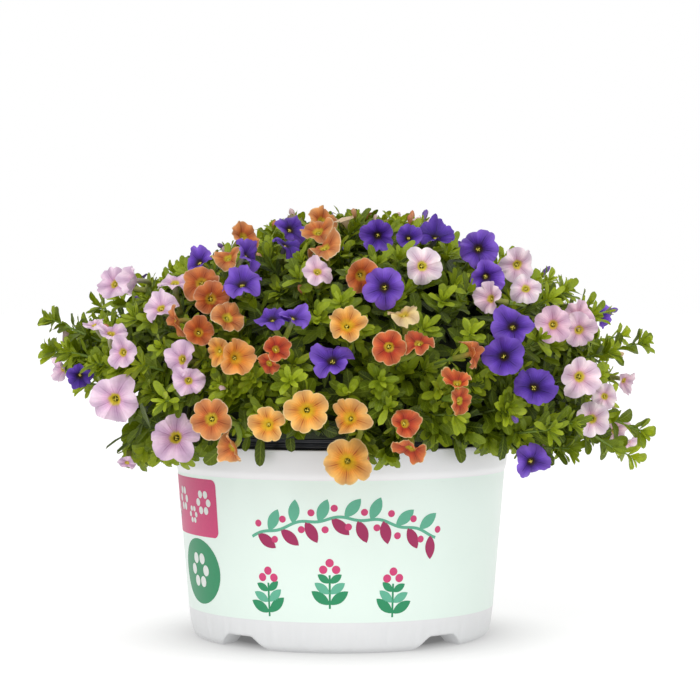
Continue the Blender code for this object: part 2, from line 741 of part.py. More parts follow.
def build_core(plant, blooms, finish):
    """The close-grown inside of one plant: a wedge of the mound, all tufts, clear of the others by a slit."""
    middle = plant * PLANT_SPAN
    lift = Vector((math.sin(middle), -math.cos(middle), 0)) * CORE_SHRINK
    rng = random.Random(50 + plant)
    underside = ((88, SOIL_TOP + 12), (110, COLLAR_TOP + 5), (148, COLLAR_TOP + 7))
    elevations = (4, 16, 28, 40, 52, 66)
    bottom, top = Vector((0, 0, SOIL_TOP + 12)), mound_point(0, math.pi / 2, CORE_SHARE)
    points = [bottom + lift, top + lift]
    rings = []
    for step in range(CORE_STEPS + 1):
        azimuth = middle + PLANT_SPAN * (step / CORE_STEPS - 0.5)
        sway = 0 if step in (0, CORE_STEPS) else 0.035
        ring = [Vector((r * math.sin(azimuth), -r * math.cos(azimuth), z)) for r, z in underside]
        for k, degrees in enumerate(elevations):
            elevation = math.radians(degrees + rng.uniform(-2, 2))
            ring.append(tuft_point(azimuth + rng.uniform(-sway, sway), elevation, (step + k) % 2, blooms))
        rings.append(list(range(len(points), len(points) + len(ring))))
        points += [p + lift for p in ring]
    faces = []
    for step, (here, there) in enumerate(zip(rings, rings[1:])):
        faces += [(0, here[0], there[0]), (1, there[-1], here[-1])]
        for k in range(len(here) - 1):
            a, b, c, d = here[k], here[k + 1], there[k + 1], there[k]
            raised = (step + k + len(underside)) % 2
            faces += [(a, b, d), (b, c, d)] if raised else [(a, b, c), (a, c, d)]
    faces.append((0, 1, *reversed(rings[0])))
    faces.append((1, 0, *rings[-1]))
    return add_object(f"plant_{plant + 1}", points, faces, finish)


def leaf_shape(leaf):
    """A leaf blade: widest past its middle, folded along it, arched, and alike on both faces."""
    across = leaf["direction"].cross(leaf["normal"])
    half = leaf["width"] / 2 * LEAF_FILL
    outline = ((0, 0), (0.6, -1), (1.0, 0), (0.6, 1))
    points = []
    for rise in (LEAF_THICK / 2, -LEAF_THICK / 2):
        for t, w in outline:
            height = LEAF_FOLD * abs(w) * half - leaf["arch"] * leaf["length"] * t * t + rise
            middle = leaf["base"] + leaf["direction"] * leaf["length"] * t
            points.append(middle + across * w * half + leaf["normal"] * height)
    faces = [(0, 1, 2), (0, 2, 3)]
    faces += [tuple(4 + index for index in reversed(face)) for face in faces]
    for k in range(4):
        nxt = (k + 1) % 4
        faces += [(k, 4 + k, 4 + nxt), (k, 4 + nxt, nxt)]
    return points, faces


def calyx_top(bunch):
    """Where the calyx ends, just clear of the tubes' feet."""
    lowest = 0.0
    for b in bunch["blooms"]:
        run = (b["centre"] - bunch["foot"]).normalized()
        slope = math.sqrt(max(0.0, 1 - run.dot(bunch["aim"]) ** 2))
        lowest = max(lowest, TUBE_FOOT * slope)
    return bunch["foot"] - bunch["aim"] * (lowest + TOUCH + 0.05)


def pedicel_shape(bunch):
    """The stalk and calyx under a truss, in one turn of rings."""
    root = pedicel_root(bunch)
    top = calyx_top(bunch)
    waist = top - bunch["aim"] * CALYX_LENGTH
    return tube([root, waist, top], [PEDICEL_RADIUS, PEDICEL_RADIUS, CALYX_RADIUS], 4)


def bloom_shape(bloom):
    """A trumpet with a flat five-lobed limb, open in the middle, whose two faces are alike. Large blooms
    have rounder lobes, and small ones a plain hollow for a throat."""
    size, centre, facing, foot = bloom["size"], bloom["centre"], bloom["facing"], bloom["foot"]
    per_lobe = 3 if size >= LARGE_BLOOM else 2
    count = 5 * per_lobe
    side, other = frame_along(facing, bloom["spin"])
    foot_side, foot_other = frame_along((centre - foot).normalized(), bloom["spin"])

    def limb(turn, radius, height):
        return centre + (side * math.cos(turn) + other * math.sin(turn)) * radius + facing * height

    turns = [2 * math.pi * k / count for k in range(count)]
    lobes = [2 * math.pi * k / 5 for k in range(5)]
    reach = [(NOTCH_SHARE if k % per_lobe == 0 else 0.5) * size for k in range(count)]
    wave = [LIMB_WAVE * size * math.sin(2 * t + bloom["spin"]) for t in turns]
    points = [foot + (foot_side * math.cos(t) + foot_other * math.sin(t)) * TUBE_FOOT for t in lobes]
    points += [limb(t, THROAT_OUTER * size, -LIMB_DROP * size) for t in lobes]
    points += [limb(t, r, w - PETAL_THICK) for t, r, w in zip(turns, reach, wave)]
    points += [limb(t, r, w) for t, r, w in zip(turns, reach, wave)]
    throat, under, over, mouth = 5, 10, 10 + count, 10 + 2 * count
    faces = [tuple(range(4, -1, -1))]
    for k in range(5):
        nxt = (k + 1) % 5
        faces += [(k, nxt, throat + nxt), (k, throat + nxt, throat + k)]
    for k in range(count):
        nxt = (k + 1) % count
        faces += [(under + k, under + nxt, over + nxt), (under + k, over + nxt, over + k)]
    sides = [(throat, under)]
    if size < SMALL_BLOOM:
        points.append(centre - facing * SMALL_PIT * size)
        faces += [(over + k, over + (k + 1) % count, mouth) for k in range(count)]
    else:
        points += [limb(t, THROAT_INNER * size, PETAL_THICK - LIMB_DROP * size) for t in lobes]
        points.append(centre - facing * THROAT_PIT * size)
        faces += [(mouth + k, mouth + (k + 1) % 5, mouth + 5) for k in range(5)]
        sides.append((mouth, over))
    for inner, outer in sides:
        for k in range(5):
            nxt = (k + 1) % 5
            edge = [outer + (k * per_lobe + j) % count for j in range(per_lobe + 1)]
            faces += [(inner + (k if j == 0 else nxt), edge[j], edge[j + 1]) for j in range(per_lobe)]
            faces.append((inner + k, inner + nxt, edge[1]))
    return points, faces


def build_trusses(trusses):
    counts = {}
    for bunch in trusses:
        colour = bunch["colour"]
        counts[colour] = counts.get(colour, 0) + 1
        finish = material("petal_" + colour, COLOURS[colour], 0.55)
        name = f"bloom_{colour}_{counts[colour]}"
        made = []
        for k, bloom in enumerate(bunch["blooms"]):
            piece = name if k == 0 else f"{name}_piece_{k}"
            made.append(add_object(piece, *bloom_shape(bloom), finish, bunch["foot"]))
        fuse(made[0], made[1:])


def build_plants(trusses):
    blooms = [b for bunch in trusses for b in bunch["blooms"]]
    pieces = {plant: [] for plant in range(PLANTS)}
    finish = material("foliage", LEAF_GREEN, 0.6)

    def add(plant, shape):
        name = f"plant_{plant + 1}_piece_{len(pieces[plant])}"
        pieces[plant].append(add_object(name, *shape, finish))

    for bunch in trusses:
        add(bunch["plant"], pedicel_shape(bunch))
    for index in [*range(0, SHOOTS, SHOOT_STEP), *range(SHOOTS, SHOOTS + SKIRT_SHOOTS, SKIRT_STEP)]:
        shoot = shoot_layout(index, blooms)
        if shoot is None:
            continue
        add(shoot["plant"], tube(shoot["points"], [SHOOT_RADIUS] * 2, 3))
        for leaf in shoot["leaves"][FIRST_LEAF::LEAF_STEP]:
            if leaf is not None:
                add(shoot["plant"], leaf_shape(leaf))
    for plant in range(PLANTS):
        add(plant, crown_stem(plant, CROWN_STEM_RADIUS, TOUCH))
        fuse(build_core(plant, blooms, finish), pieces[plant])


def main():
    for old in list(bpy.data.objects):
        bpy.data.objects.remove(old)
    build_pot()
    build_liner()
    build_soil()
    trusses = bloom_layout()
    build_trusses(trusses)
    build_plants(trusses)


main()
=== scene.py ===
"""Calibrachoa in full bloom in a white moulded pot: the finished look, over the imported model.

Sizes are in millimetres and turned into metres where a mesh is made. The places of blooms and shoots
follow the same rules as the solid model's, so each finer piece stands where its solid stands. Azimuths
are measured round the pot from the front, and grow to the right.
"""

import math
import random
from dataclasses import dataclass

import bpy
import numpy as np
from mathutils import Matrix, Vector

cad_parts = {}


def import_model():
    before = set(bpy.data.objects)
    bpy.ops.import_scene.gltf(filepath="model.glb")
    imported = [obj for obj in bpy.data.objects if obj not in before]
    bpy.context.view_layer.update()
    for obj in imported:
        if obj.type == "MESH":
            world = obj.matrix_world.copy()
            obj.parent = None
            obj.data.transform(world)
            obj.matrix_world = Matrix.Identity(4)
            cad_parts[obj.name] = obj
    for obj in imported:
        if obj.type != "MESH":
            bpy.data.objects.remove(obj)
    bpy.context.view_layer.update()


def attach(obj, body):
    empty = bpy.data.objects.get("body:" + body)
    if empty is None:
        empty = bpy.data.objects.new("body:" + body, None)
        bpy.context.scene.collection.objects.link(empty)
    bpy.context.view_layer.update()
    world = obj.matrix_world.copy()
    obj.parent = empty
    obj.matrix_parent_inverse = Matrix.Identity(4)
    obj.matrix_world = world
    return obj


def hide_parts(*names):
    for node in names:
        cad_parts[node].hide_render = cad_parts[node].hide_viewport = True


MM = 0.001
FULL_TURN = 2 * math.pi
GOLDEN = math.radians(137.508)
UP = Vector((0, 0, 1))

# White pot
POT_HEIGHT = 151.0
RIM_RADIUS = 130.0
BAND_HEIGHT = 22.0
BAND_STEP = 1.4
SHOULDER_RADIUS = 127.6
HEEL_RADIUS = 117.8
HEEL_HEIGHT = 12.0
FOOT_OUTER = 111.4
FOOT_INNER = 98.4
FLOOR_UNDER = 11.2
FLOOR_TOP = 13.6
POT_WALL = 2.2
NOTCH_AZIMUTHS = (40.5, 139.5, 220.5, 319.5)
NOTCH_HEIGHT = 10.4
NOTCH_TOP_WIDTH = 18.0
NOTCH_FOOT_WIDTH = 50.0
POT_SEGMENTS = 720
LABEL_LOW = 23.5
LABEL_HIGH = 128.6
FLUTES = ((64, 0.4, 0.0), (41, 0.35, 1.3), (97, 0.25, 2.1))
FLUTE_DEPTH = 0.75
FLUTE_STEP = 4.0

# Black inner pot
LINER_GAP = 0.8
LINER_WALL = 1.6
LINER_SEGMENTS = 160
LINER_HEEL = FLOOR_TOP + 12
COLLAR_LOW = 129.0
COLLAR_TOP = 160.0
COLLAR_RIB = 1.3
RIB_HEIGHTS = (146.5, 150.0, 153.6, 157.0)

# Soil
SOIL_TOP = 143.0
SOIL_CROWN = 4.0
SOIL_RINGS = 34
SOIL_SEGMENTS = 120
CRUMBS = 420
CROWN_STEM_RING = 55.0

# Mound of foliage: a body of revolution whose section is a superellipse
MOUND_CENTRE = 172.0
MOUND_ACROSS = 218.0
MOUND_UP = 151.0
MOUND_DOWN = 56.0
MOUND_POWER = 2.6
CORE_SHARE = 0.82
ROOT_SHARE = 0.70
# The dark wedge inside each plant is painted shade: a sheet that stands for the shadow between the leaves
DARK_CORE_SHARE = 0.70
DARK_CORE_FOOT = 92.0
DARK_CORE_GRID = (12, 13)
PLANTS = 5
PLANT_SPAN = FULL_TURN / PLANTS
PLANE_MARGIN = 1.0
LEAF_CROSSING = 9.0

# Where shoots droop less and where they are shorter, so that the mound has the photograph's outline
LIFT_BELOW = math.radians(14.0)
LIFT_SPAN = math.radians(20.0)
FRONT_LIFT = math.radians(9.0)
LEFT_LIFT = math.radians(17.0)
HOLLOW_LEFT = 0.18
HOLLOW_RIGHT = 0.10
HOLLOW_AT = math.radians(49.0)
HOLLOW_SPAN = math.radians(16.0)

# Long leafy sprays that reach out at the sides: the root and the tip of each
SPRAYS = (
    ((150, -30, 205), (231, -38, 228)),
    ((158, -45, 188), (229, -58, 161)),
    ((150, -58, 186), (204, -78, 150)),
    ((140, 20, 215), (222, 30, 232)),
    ((-152, -30, 214), (-222, -40, 246)),
    ((-155, -20, 200), (-223, -25, 222)),
    ((150, -40, 176), (222, -50, 141)),
    ((-52, -112, 178), (-64, -152, 163)),
)

# Shoots: how many there are of each kind. Those that hang lowest have broader leaves: (breadth, length)
SHOOTS = {"mound": 120, "skirt": 36, "fill": 420, "drape": 46, "spray": len(SPRAYS)}
LEAF_SCALES = {"skirt": (1.2, 1), "drape": (1.45, 1), "spray": (1.45, 0.86)}
# How shoots spread over the mound: the lowest elevation, the first azimuth and how far the others stray
# from their turn, then how far a tip turns, rises and reaches
SPREADS = {
    "mound": (math.radians(-6), 0.0, 0.0, 0.06, (-0.02, 0.08), (0.93, 1.0)),
    "fill": (math.radians(-10), 1.3, 0.05, 0.16, (-0.04, 0.14), (0.82, 0.98)),
}
HANG_STRAY = 0.05
SHOOT_RADIUS = 1.3
STEM_CHECKS = (0.35, 0.5, 0.65, 0.8, 0.9, 1.0)
LOWEST_ROOT = math.radians(4.0)
SKIRT_REACH = 158.0
SKIRT_SPREAD = 24.0
SKIRT_HEIGHT = 146.0
SKIRT_FRONT_LIFT = 12.0
SKIRT_RIGHT_LIFT = 13.0
DRAPE_REACH = 150.0
DRAPE_HEIGHT = 161.0

# Leaves
LEAF_LENGTH = 25.0
LEAF_WIDTH = 12.0
LEAF_TRIM = 0.9
LEAF_SLIM = 0.93
LEAVES_PER_SHOOT = 13
FIRST_LEAF = 0.34
# What is tried until a leaf is clear: how far it leans, how far it swings round, how long it is
LEAF_TRIES = ((1, 0, 1), (0.7, 0.35, 1), (1.15, -0.5, 0.85), (0.45, 0.9, 0.85), (0.3, -1, 0.7))
HIDDEN_SHARE = 0.6
YOUNG_LEAVES = 8
INNER_LEAVES = 320
BLOOM_VIEW = 0.42
FILL_VIEW = 0.27
LIGHT_TURN = 0.5
LIGHT_CENTRE = 90.0
SIDE_TURN = 1.5
# Painted light and shade in the leaves' tint: darker low over the pot's front, on top and on hanging shoots,
# lighter on the left
DIM_BELOW = 205.0
DIM_SPAN = 40.0
DIM_FRONT = 0.24
DIM_TOP = 0.13
DIM_HANGING = 0.12
BRIGHT_LEFT = 0.07
# Where the black ribs show between the leaves: azimuths in radians, and the height above them
RIB_GAPS = ((-0.58, 0.0), (0.30, 0.36), (0.47, 0.55), (1.11, 1.2))
RIB_GAP_TOP = 162.0
LEFT_GAP_EDGE = -180.0
LEFT_GAP_TOP = 171.0

# Broad leaves that hang over the white rim: across, height of the base, length, width, lean
HANGING_LEAVES = (
    (-57, 166, 27, 9.5, -0.06),
    (-37, 168, 18, 8.0, 0.1),
    (-66, 164, 15, 7.0, -0.3),
    (24, 166, 17, 7.5, 0.15),
    (34, 164, 24, 9.0, -0.04),
    (47, 163, 16, 7.0, 0.3),
    (83, 165, 26, 11.0, 0.3),
    (70, 165, 16, 8.0, -0.2),
    (101, 163, 15, 6.0, 0.1),
)
HANGING_REACH = 137.0

# Blooms
TUBE_FOOT = 1.7
THROAT_OUTER = 0.155
LIMB_DROP = 0.13
LIMB_WAVE = 0.05
# The ruffles of a limb's edge: how many waves run round it, and how strong they are
RUFFLES = ((8, 1.0), (13, 0.8), (19, 0.5))
MOUTH_SHARE = 0.062
LOBES = 5
COLUMNS = 60
LIMB_ROWS = 12
TUBE_ROWS = 5
SLEEVE_ROWS = 11
SLEEVE_GAP = 0.3
CALYX_RADIUS = 2.7
CALYX_LENGTH = 5.0
SEPALS = 5
PEDICEL_RADIUS = 1.0

# Buds stand by every so many shoots: at the front, and on the top and the far side
BUD_STEP = 9
FAR_BUD_STEP = 3
FAR_HEIGHT = MOUND_CENTRE + 0.8 * MOUND_UP
BUD_CHECKS = (6, 12, 18)
BUD_SIDES = 10
# The outline of a bud from its foot: how far along, and how wide. The second has begun to open.
FURLED = ((0.0, 0.5), (0.2, 0.62), (0.45, 0.8), (0.7, 1.0), (0.88, 0.72), (1.0, 0.12))
OPENING = ((0.0, 0.5), (0.25, 0.6), (0.55, 0.8), (0.78, 1.3), (0.94, 2.6), (1.0, 3.7))

# Each entry is one bloom node: its colour, then its blooms as (across, height, size, yaw, pitch, inset)
FRONT_BLOOMS = (
    ("lilac", ((-172, 273, 27, -25, 15, 0), (-154, 275, 24, -50, 10, 0))),
    ("lilac", ((-120, 275, 28, -5, 42, 0), (-130, 256, 26, -40, 25, 0))),
    ("lilac", ((-185, 243, 17, -30, 45, 4), (-167, 238, 25, 0, 42, 0), (-158, 223, 26, -25, -5, 0))),
    ("lilac", ((-113, 219, 28, -35, 0, 0), (-107, 203, 25, -10, -25, 2))),
    ("lilac", ((-164, 188, 36, -22, 0, 0),)),
    ("lilac", ((-119, 163, 38, 0, 5, 20),)),
    ("lilac", ((-219, 207, 24, -55, -10, -2),)),
    ("lilac", ((-160, 138, 15, -10, -50, 12),)),
    ("violet", ((-196, 203, 22, -15, -25, 6),)),
    ("orange", ((-100, 274, 28, -15, 30, 0), (-92, 262, 27, 15, 5, 6), (-79, 249, 26, 15, 35, 6))),
    ("orange", ((-70, 307, 27, 48, 25, 0), (-82, 292, 22, -20, 45, 0))),
    ("orange", ((-13, 320, 26, 30, 20, -4), (-17, 312, 26, -25, 30, -4), (-12, 300, 27, 0, 62, 0))),
    ("orange", ((-118, 245, 24, -65, 0, 0), (-100, 238, 22, -5, 15, 2))),
    ("apricot", ((-86, 225, 22, -35, 15, 0), (-72, 221, 28, 15, 12, -4))),
    ("red", ((-44, 227, 20, 12, 5, -2), (-50, 216, 16, -25, -25, 6))),
    ("orange", ((-91, 177, 31, -5, 5, 8), (-77, 156, 24, -45, -30, 18))),
    ("apricot", ((-23, 184, 32, 0, 0, 2), (-51, 174, 25, -8, -5, 6))),
    ("apricot", ((6, 179, 29, -38, 5, 6), (5, 146, 36, 0, -20, 22))),
    ("apricot", ((5, 244, 28, -10, 35, 0),)),
    ("orange", ((15, 278, 27, 8, 0, 0),)),
    ("red", ((34, 228, 25, 0, 5, 0), (55, 232, 22, 20, 50, 0))),
    ("cream", ((44, 252, 24, -12, 62, 0),)),
    ("orange", ((94, 224, 24, 55, 15, 0),)),
    ("red", ((82, 204, 22, 15, 40, 0), (85, 190, 22, 30, -10, 4))),
    ("red", ((46, 175, 22, 35, 20, 8), (49, 155, 26, -8, -45, 18))),
    ("violet", ((-37, 314, 25, 10, 30, 0), (-39, 302, 24, 10, 60, 0))),
    ("violet", ((-66, 294, 26, 52, 28, 0), (-70, 274, 31, 5, 45, -8))),
    ("violet", ((-104, 289, 24, -35, 30, 0),)),
    ("violet", ((-48, 249, 27, -15, 45, 0), (-32, 250, 23, 15, 50, 0))),
    ("violet", ((-6, 220, 29, 0, 25, 8),)),
    ("violet", ((27, 308, 26, -8, 5, 0), (50, 307, 21, 0, 40, 4), (71, 309, 28, 5, 60, 0))),
    ("violet", ((101, 299, 32, 0, 5, -4), (106, 277, 27, 12, -20, 6))),
    ("violet", ((31, 270, 31, -8, 0, -2),)),
    ("violet", ((123, 243, 32, -20, 15, 0), (116, 221, 31, -12, 10, 0), (139, 200, 32, 5, 30, 0))),
    ("violet", ((140, 142, 28, 22, -18, 10),)),
    ("violet", ((202, 248, 22, 60, 10, 0),)),
    ("pink", ((-16, 282, 23, 0, 50, 0),)),
    ("pink", ((59, 285, 29, 0, 12, 0),)),
    ("pink", ((131, 286, 28, 25, -12, 0), (135, 270, 25, 0, 15, 0))),
    ("pink", ((107, 262, 24, -58, 10, 9),)),
    ("pink", ((155, 243, 27, 15, 15, 0), (174, 250, 24, -30, 20, 0), (176, 238, 27, 20, -15, 0))),
    ("pink", ((175, 205, 32, 5, 0, -2),)),
    ("pink", ((222, 197, 19, 50, -10, 0),)),
    ("pink", ((186, 173, 26, -8, 0, 4), (197, 189, 20, 15, 15, 2))),
    ("pink", ((212, 160, 26, 30, -8, 2), (225, 148, 18, 35, -35, 0))),
)

# Trusses on the side that faces away: (azimuth, elevation on the mound) in degrees and a colour
BACK_TRUSSES = (
    (117, 4, "pink"),
    (150, 9, "orange"),
    (186, 3, "violet"),
    (222, 10, "lilac"),
    (139, 33, "violet"),
    (181, 36, "apricot"),
    (226, 28, "orange"),
)
BACK_BLOOMS = 4
BACK_SPREAD = 21.0
BACK_SIZE = 29.0
BACK_SHARE = 0.975
# How much the blooms of a truss vary: the least and the most of their size, and how far they lean
FRONT_VARIETY = (0.97, 1.03, 0.27)
BACK_VARIETY = (0.8, 1.12, 0.4)

# Petal colours: rim, limb, inner limb, veins, throat. Each is linear red, green and blue.
PETALS = {
    "lilac": (
        (0.95, 0.72, 0.90), (0.89, 0.61, 0.82), (0.70, 0.31, 0.56), (0.34, 0.06, 0.26), (0.74, 0.58, 0.04),
    ),
    "pink": (
        (0.96, 0.76, 0.86), (0.92, 0.65, 0.78), (0.79, 0.38, 0.54), (0.44, 0.06, 0.21), (0.74, 0.58, 0.05),
    ),
    "violet": (
        (0.215, 0.10, 0.66), (0.11, 0.036, 0.47), (0.035, 0.008, 0.14), (0.018, 0.003, 0.07),
        (0.035, 0.012, 0.03),
    ),
    "orange": (
        (0.74, 0.26, 0.075), (0.64, 0.15, 0.03), (0.48, 0.07, 0.010), (0.28, 0.02, 0.006),
        (0.66, 0.40, 0.02),
    ),
    "apricot": (
        (0.92, 0.48, 0.155), (0.88, 0.34, 0.05), (0.80, 0.25, 0.012), (0.48, 0.045, 0.008),
        (0.80, 0.48, 0.02),
    ),
    "red": (
        (0.74, 0.16, 0.055), (0.62, 0.062, 0.022), (0.40, 0.022, 0.010), (0.19, 0.007, 0.005),
        (0.70, 0.38, 0.02),
    ),
    "cream": (
        (0.88, 0.71, 0.38), (0.84, 0.62, 0.26), (0.76, 0.46, 0.09), (0.50, 0.13, 0.03), (0.76, 0.55, 0.04),
    ),
}

# How strong the veins, the inner limb and the pale margin are in each colour, and how far out the throat
# colour reaches
VEINS = {
    "lilac": (0.4, 0.45, 0.0, 0.21),
    "pink": (0.46, 0.5, 0.0, 0.24),
    "violet": (0.8, 0.85, 0.0, 0.18),
    "orange": (0.75, 0.75, 0.55, 0.3),
    "apricot": (0.85, 0.8, 0.6, 0.42),
    "red": (0.8, 0.75, 0.6, 0.25),
    "cream": (0.4, 0.5, 0.3, 0.4),
}

# The tints between which the blooms of each colour vary
SWAY = {
    "lilac": ((0.96, 0.93, 0.95), (1.06, 1.12, 1.05)),
    "pink": ((0.95, 0.84, 0.90), (1.06, 1.18, 1.10)),
    "violet": ((0.6, 0.55, 0.68), (1.4, 1.5, 1.15)),
    "orange": ((0.88, 0.72, 0.8), (1.14, 1.5, 1.8)),
    "apricot": ((0.95, 0.85, 0.8), (1.05, 1.16, 1.1)),
    "red": ((0.85, 0.7, 0.75), (1.1, 1.6, 1.35)),
    "cream": ((0.95, 0.9, 0.85), (1.02, 1.05, 1.1)),
}
THROAT_DEEP = (0.44, 0.38, 0.04)
THROAT_DARK = (0.36, 0.29, 0.035)
TUBE_GREEN = (0.31, 0.37, 0.05)
PALE_RIM = (0.94, 0.74, 0.42)
LEAF_DEEP = (0.046, 0.077, 0.002)
LEAF_MID = (0.208, 0.292, 0.007)
LEAF_BRIGHT = (0.44, 0.55, 0.03)
LEAF_RIB = (0.30, 0.40, 0.05)
# Painted light on the pot: the rim band and the top of the printed zone are lighter than the foot
BAND_WHITE_PAINTED_LIGHT = (0.94, 0.94, 0.955)
LABEL_TOP_PAINTED_LIGHT = (0.865, 0.985, 0.92)

# Print: its inks, how far they stand off the wall, how closely they follow it, the height at which arc
# lengths are measured, and what is drawn, by arc length from the front and height
INKS = {
    "magenta": (0.66, 0.045, 0.18),
    "deep_magenta": (0.38, 0.012, 0.10),
    "green": (0.012, 0.27, 0.11),
    "mint_green": (0.115, 0.46, 0.30),
    "pale": (0.80, 0.84, 0.80),
}
PRINT_LIFT = 0.12
PRINT_STEP = 4.0
PRINT_DATUM = 75.0
VINE_STEPS = 60
VINE_START = -68
VINE_LENGTH = 142
VINE_HEIGHT = 86
VINE_RISE = 15
SPRIGS = ((-56, 40, 0.12), (-8, 47, 0.0), (40, 40, -0.1))
SPRIG_LEAVES = (("green", 17, 7.5), ("mint_green", 14, 6.5), ("green", 11, 5.5))
SPRIG_BERRIES = ((0, 21), (-4.8, 16), (4.8, 16))
PANEL = (-214, -102, 82, 126)
PANEL_CORNER = 5
OVAL = (-132, 55, 29, 25)
DOT_FLOWERS = (
    (-119, 108, 7),
    (-136, 98, 5),
    (-155, 109, 7),
    (-176, 99, 5),
    (-196, 107, 7),
    (-132, 56, 10),
)

# Camera, as the photograph was taken
IMAGE_SIDE = 700
FOCAL_PIXELS = 2432
SENSOR = 36.0
CAMERA_PLACE = (0.007, -1.9, 0.2645)
CAMERA_PITCH = math.radians(-1.3)

# Light: how bright the sky is at the horizon and overhead, and suns as (name, strength, spread, tilt, turn)
SKY_LOW = 0.18
SKY_HIGH = 0.74
FLOOR_REACH = 30.0
# The floor glows evenly, less near the pot and least under it: a painted contact shadow
FLOOR_GLOW = 0.75
FLOOR_UNDER_POT = 0.12
FLOOR_SHADE = (0.088, 0.2)
FLOOR_RISE = 0.38
LIGHTS = (
    ("key", 0.9, 25, 48, -14),
    ("front", 0.56, 80, 84, 8),
    ("left", 0.54, 80, 78, -58),
    ("right", 0.74, 80, 78, 60),
    ("back", 0.5, 80, 60, 172),
)


@dataclass
class Bloom:
    """A bloom: the middle of its limb, the way it faces, its width, its turn, and the foot of its tube."""

    centre: Vector
    facing: Vector
    size: float
    spin: float
    foot: Vector = None


@dataclass
class Truss:
    """One bloom node: its blooms, the foot where their tubes meet, and the way that foot points."""

    colour: str
    blooms: list
    foot: Vector
    aim: Vector
    plant: int


@dataclass
class Leaf:
    """A leaf: its foot, the way it points, the way its face looks, its sizes, and its place on the shoot."""

    base: Vector
    direction: Vector
    normal: Vector
    length: float
    width: float
    arch: float
    share: float = 0.0


@dataclass
class Shoot:
    """A leafy shoot: its kind, the two ends of its stem, its plant, and its leaves in order."""

    kind: str
    root: Vector
    tip: Vector
    plant: int
    leaves: list
    young: list


def clamp(value):
    return min(1.0, max(0.0, value))


def polar(reach, azimuth, height=0.0):
    """The point at a distance from the pot's axis, at an azimuth and a height."""
    return Vector((reach * math.sin(azimuth), -reach * math.cos(azimuth), height))


def spoke(side, other, turn):
    """The direction at a turn from the first of two directions towards the second."""
    return side * math.cos(turn) + other * math.sin(turn)


def mound_point(azimuth, elevation, share=1.0):
    """A point at a share of the way from the mound's centre to its surface."""
    rise = MOUND_UP if elevation >= 0 else MOUND_DOWN
    across = abs(math.cos(elevation)) / MOUND_ACROSS
    upward = abs(math.sin(elevation)) / rise
    reach = share * (across**MOUND_POWER + upward**MOUND_POWER) ** (-1 / MOUND_POWER)
    return polar(reach * math.cos(elevation), azimuth, MOUND_CENTRE + reach * math.sin(elevation))


def mound_reach(height):
    """The mound's radius at a height."""
    rise = MOUND_UP if height >= MOUND_CENTRE else MOUND_DOWN
    upward = min(1.0, abs(height - MOUND_CENTRE) / rise)
    return MOUND_ACROSS * (1 - upward**MOUND_POWER) ** (1 / MOUND_POWER)


def leanings(azimuth):
    """How far an azimuth points forwards or back, to the left, and to the right, each squared."""
    across = math.sin(azimuth)
    return math.cos(azimuth) ** 2, max(0.0, -across) ** 2, max(0.0, across) ** 2


def shoot_point(azimuth, elevation, share):
    """A point on a shoot. Shoots droop less over the pot's front and on the left, and high on either side
    they are shorter."""
    ahead, left, right = leanings(azimuth)
    low = clamp((LIFT_BELOW - elevation) / LIFT_SPAN)
    lift = FRONT_LIFT * ahead + LEFT_LIFT * left
    hollow = HOLLOW_LEFT * left + HOLLOW_RIGHT * right
    hollow *= math.exp(-(((elevation - HOLLOW_AT) / HOLLOW_SPAN) ** 2))
    return mound_point(azimuth, elevation + lift * low, share * (1 - hollow))


def azimuth_of(point):
    return math.atan2(point.x, -point.y)


def plant_of(azimuth):
    """Which of the plants round the pot owns an azimuth. Plant 0 faces the front."""
    return int(((azimuth + PLANT_SPAN / 2) % FULL_TURN) / PLANT_SPAN)


def plane_distance(point, plant):
    """How far a point lies inside the two upright planes that bound a plant's share of the pot."""
    middle = plant * PLANT_SPAN
    low, high = middle - PLANT_SPAN / 2, middle + PLANT_SPAN / 2
    inside_low = point.x * math.cos(low) + point.y * math.sin(low)
    inside_high = -(point.x * math.cos(high) + point.y * math.sin(high))
    return min(inside_low, inside_high)


def kept_in_plant(point, plant, margin):
    """The point moved outwards until it is at least the margin inside its plant's planes."""
    lack = margin + PLANE_MARGIN - plane_distance(point, plant)
    return point + polar(1, plant * PLANT_SPAN) * (lack / math.sin(PLANT_SPAN / 2)) if lack > 0 else point


def frame_along(direction, spin=0.0):
    """Two unit vectors at right angles to a direction and to each other."""
    helper = UP if abs(direction.z) < 0.9 else Vector((1, 0, 0))
    side = direction.cross(helper).normalized()
    other = direction.cross(side).normalized()
    return spoke(side, other, spin), spoke(other, -side, spin)


def truss(colour, blooms, low, high, tilt):
    """A truss that ties blooms together behind them, and gives them sizes and turns of their own."""
    centre = sum((b.centre for b in blooms), Vector()) / len(blooms)
    aim = sum((b.facing for b in blooms), Vector()).normalized()
    if len(blooms) == 1:
        foot = centre - aim * (0.62 * blooms[0].size + 2)
    else:
        spread = max((b.centre - centre).length for b in blooms)
        foot = centre - aim * (21 + 0.3 * spread)
        for _ in range(12):
            for b in blooms:
                lack = 0.45 * b.size - (b.centre - foot).dot(b.facing)
                if lack > 0:
                    foot = foot - b.facing * lack
        aim = (centre - foot).normalized()
    plant = plant_of(azimuth_of(foot))
    foot = kept_in_plant(foot, plant, CALYX_RADIUS + 1.0)
    rng = random.Random(f"varied {foot.x:.1f}")
    for b in blooms:
        b.foot = foot
        b.size *= rng.uniform(low, high)
        side, other = frame_along(b.facing)
        lean = side * rng.uniform(-tilt, tilt) + other * rng.uniform(-tilt, tilt)
        b.facing = (b.facing + lean).normalized()
    return Truss(colour, blooms, foot, aim, plant)


def front_truss(colour, listed):
    """A truss read off the front view."""
    blooms = []
    for across, height, size, yaw, pitch, inset in listed:
        reach = mound_reach(height) - inset
        depth = math.sqrt(max(reach * reach - across * across, 0.0))
        yaw, pitch = math.radians(yaw), math.radians(pitch)
        facing = polar(math.cos(pitch), yaw, math.sin(pitch))
        spin = random.Random(f"{across} {height}").uniform(0, FULL_TURN)
        blooms.append(Bloom(Vector((across, -depth, height)), facing, size, spin))
    return truss(colour, blooms, *FRONT_VARIETY)


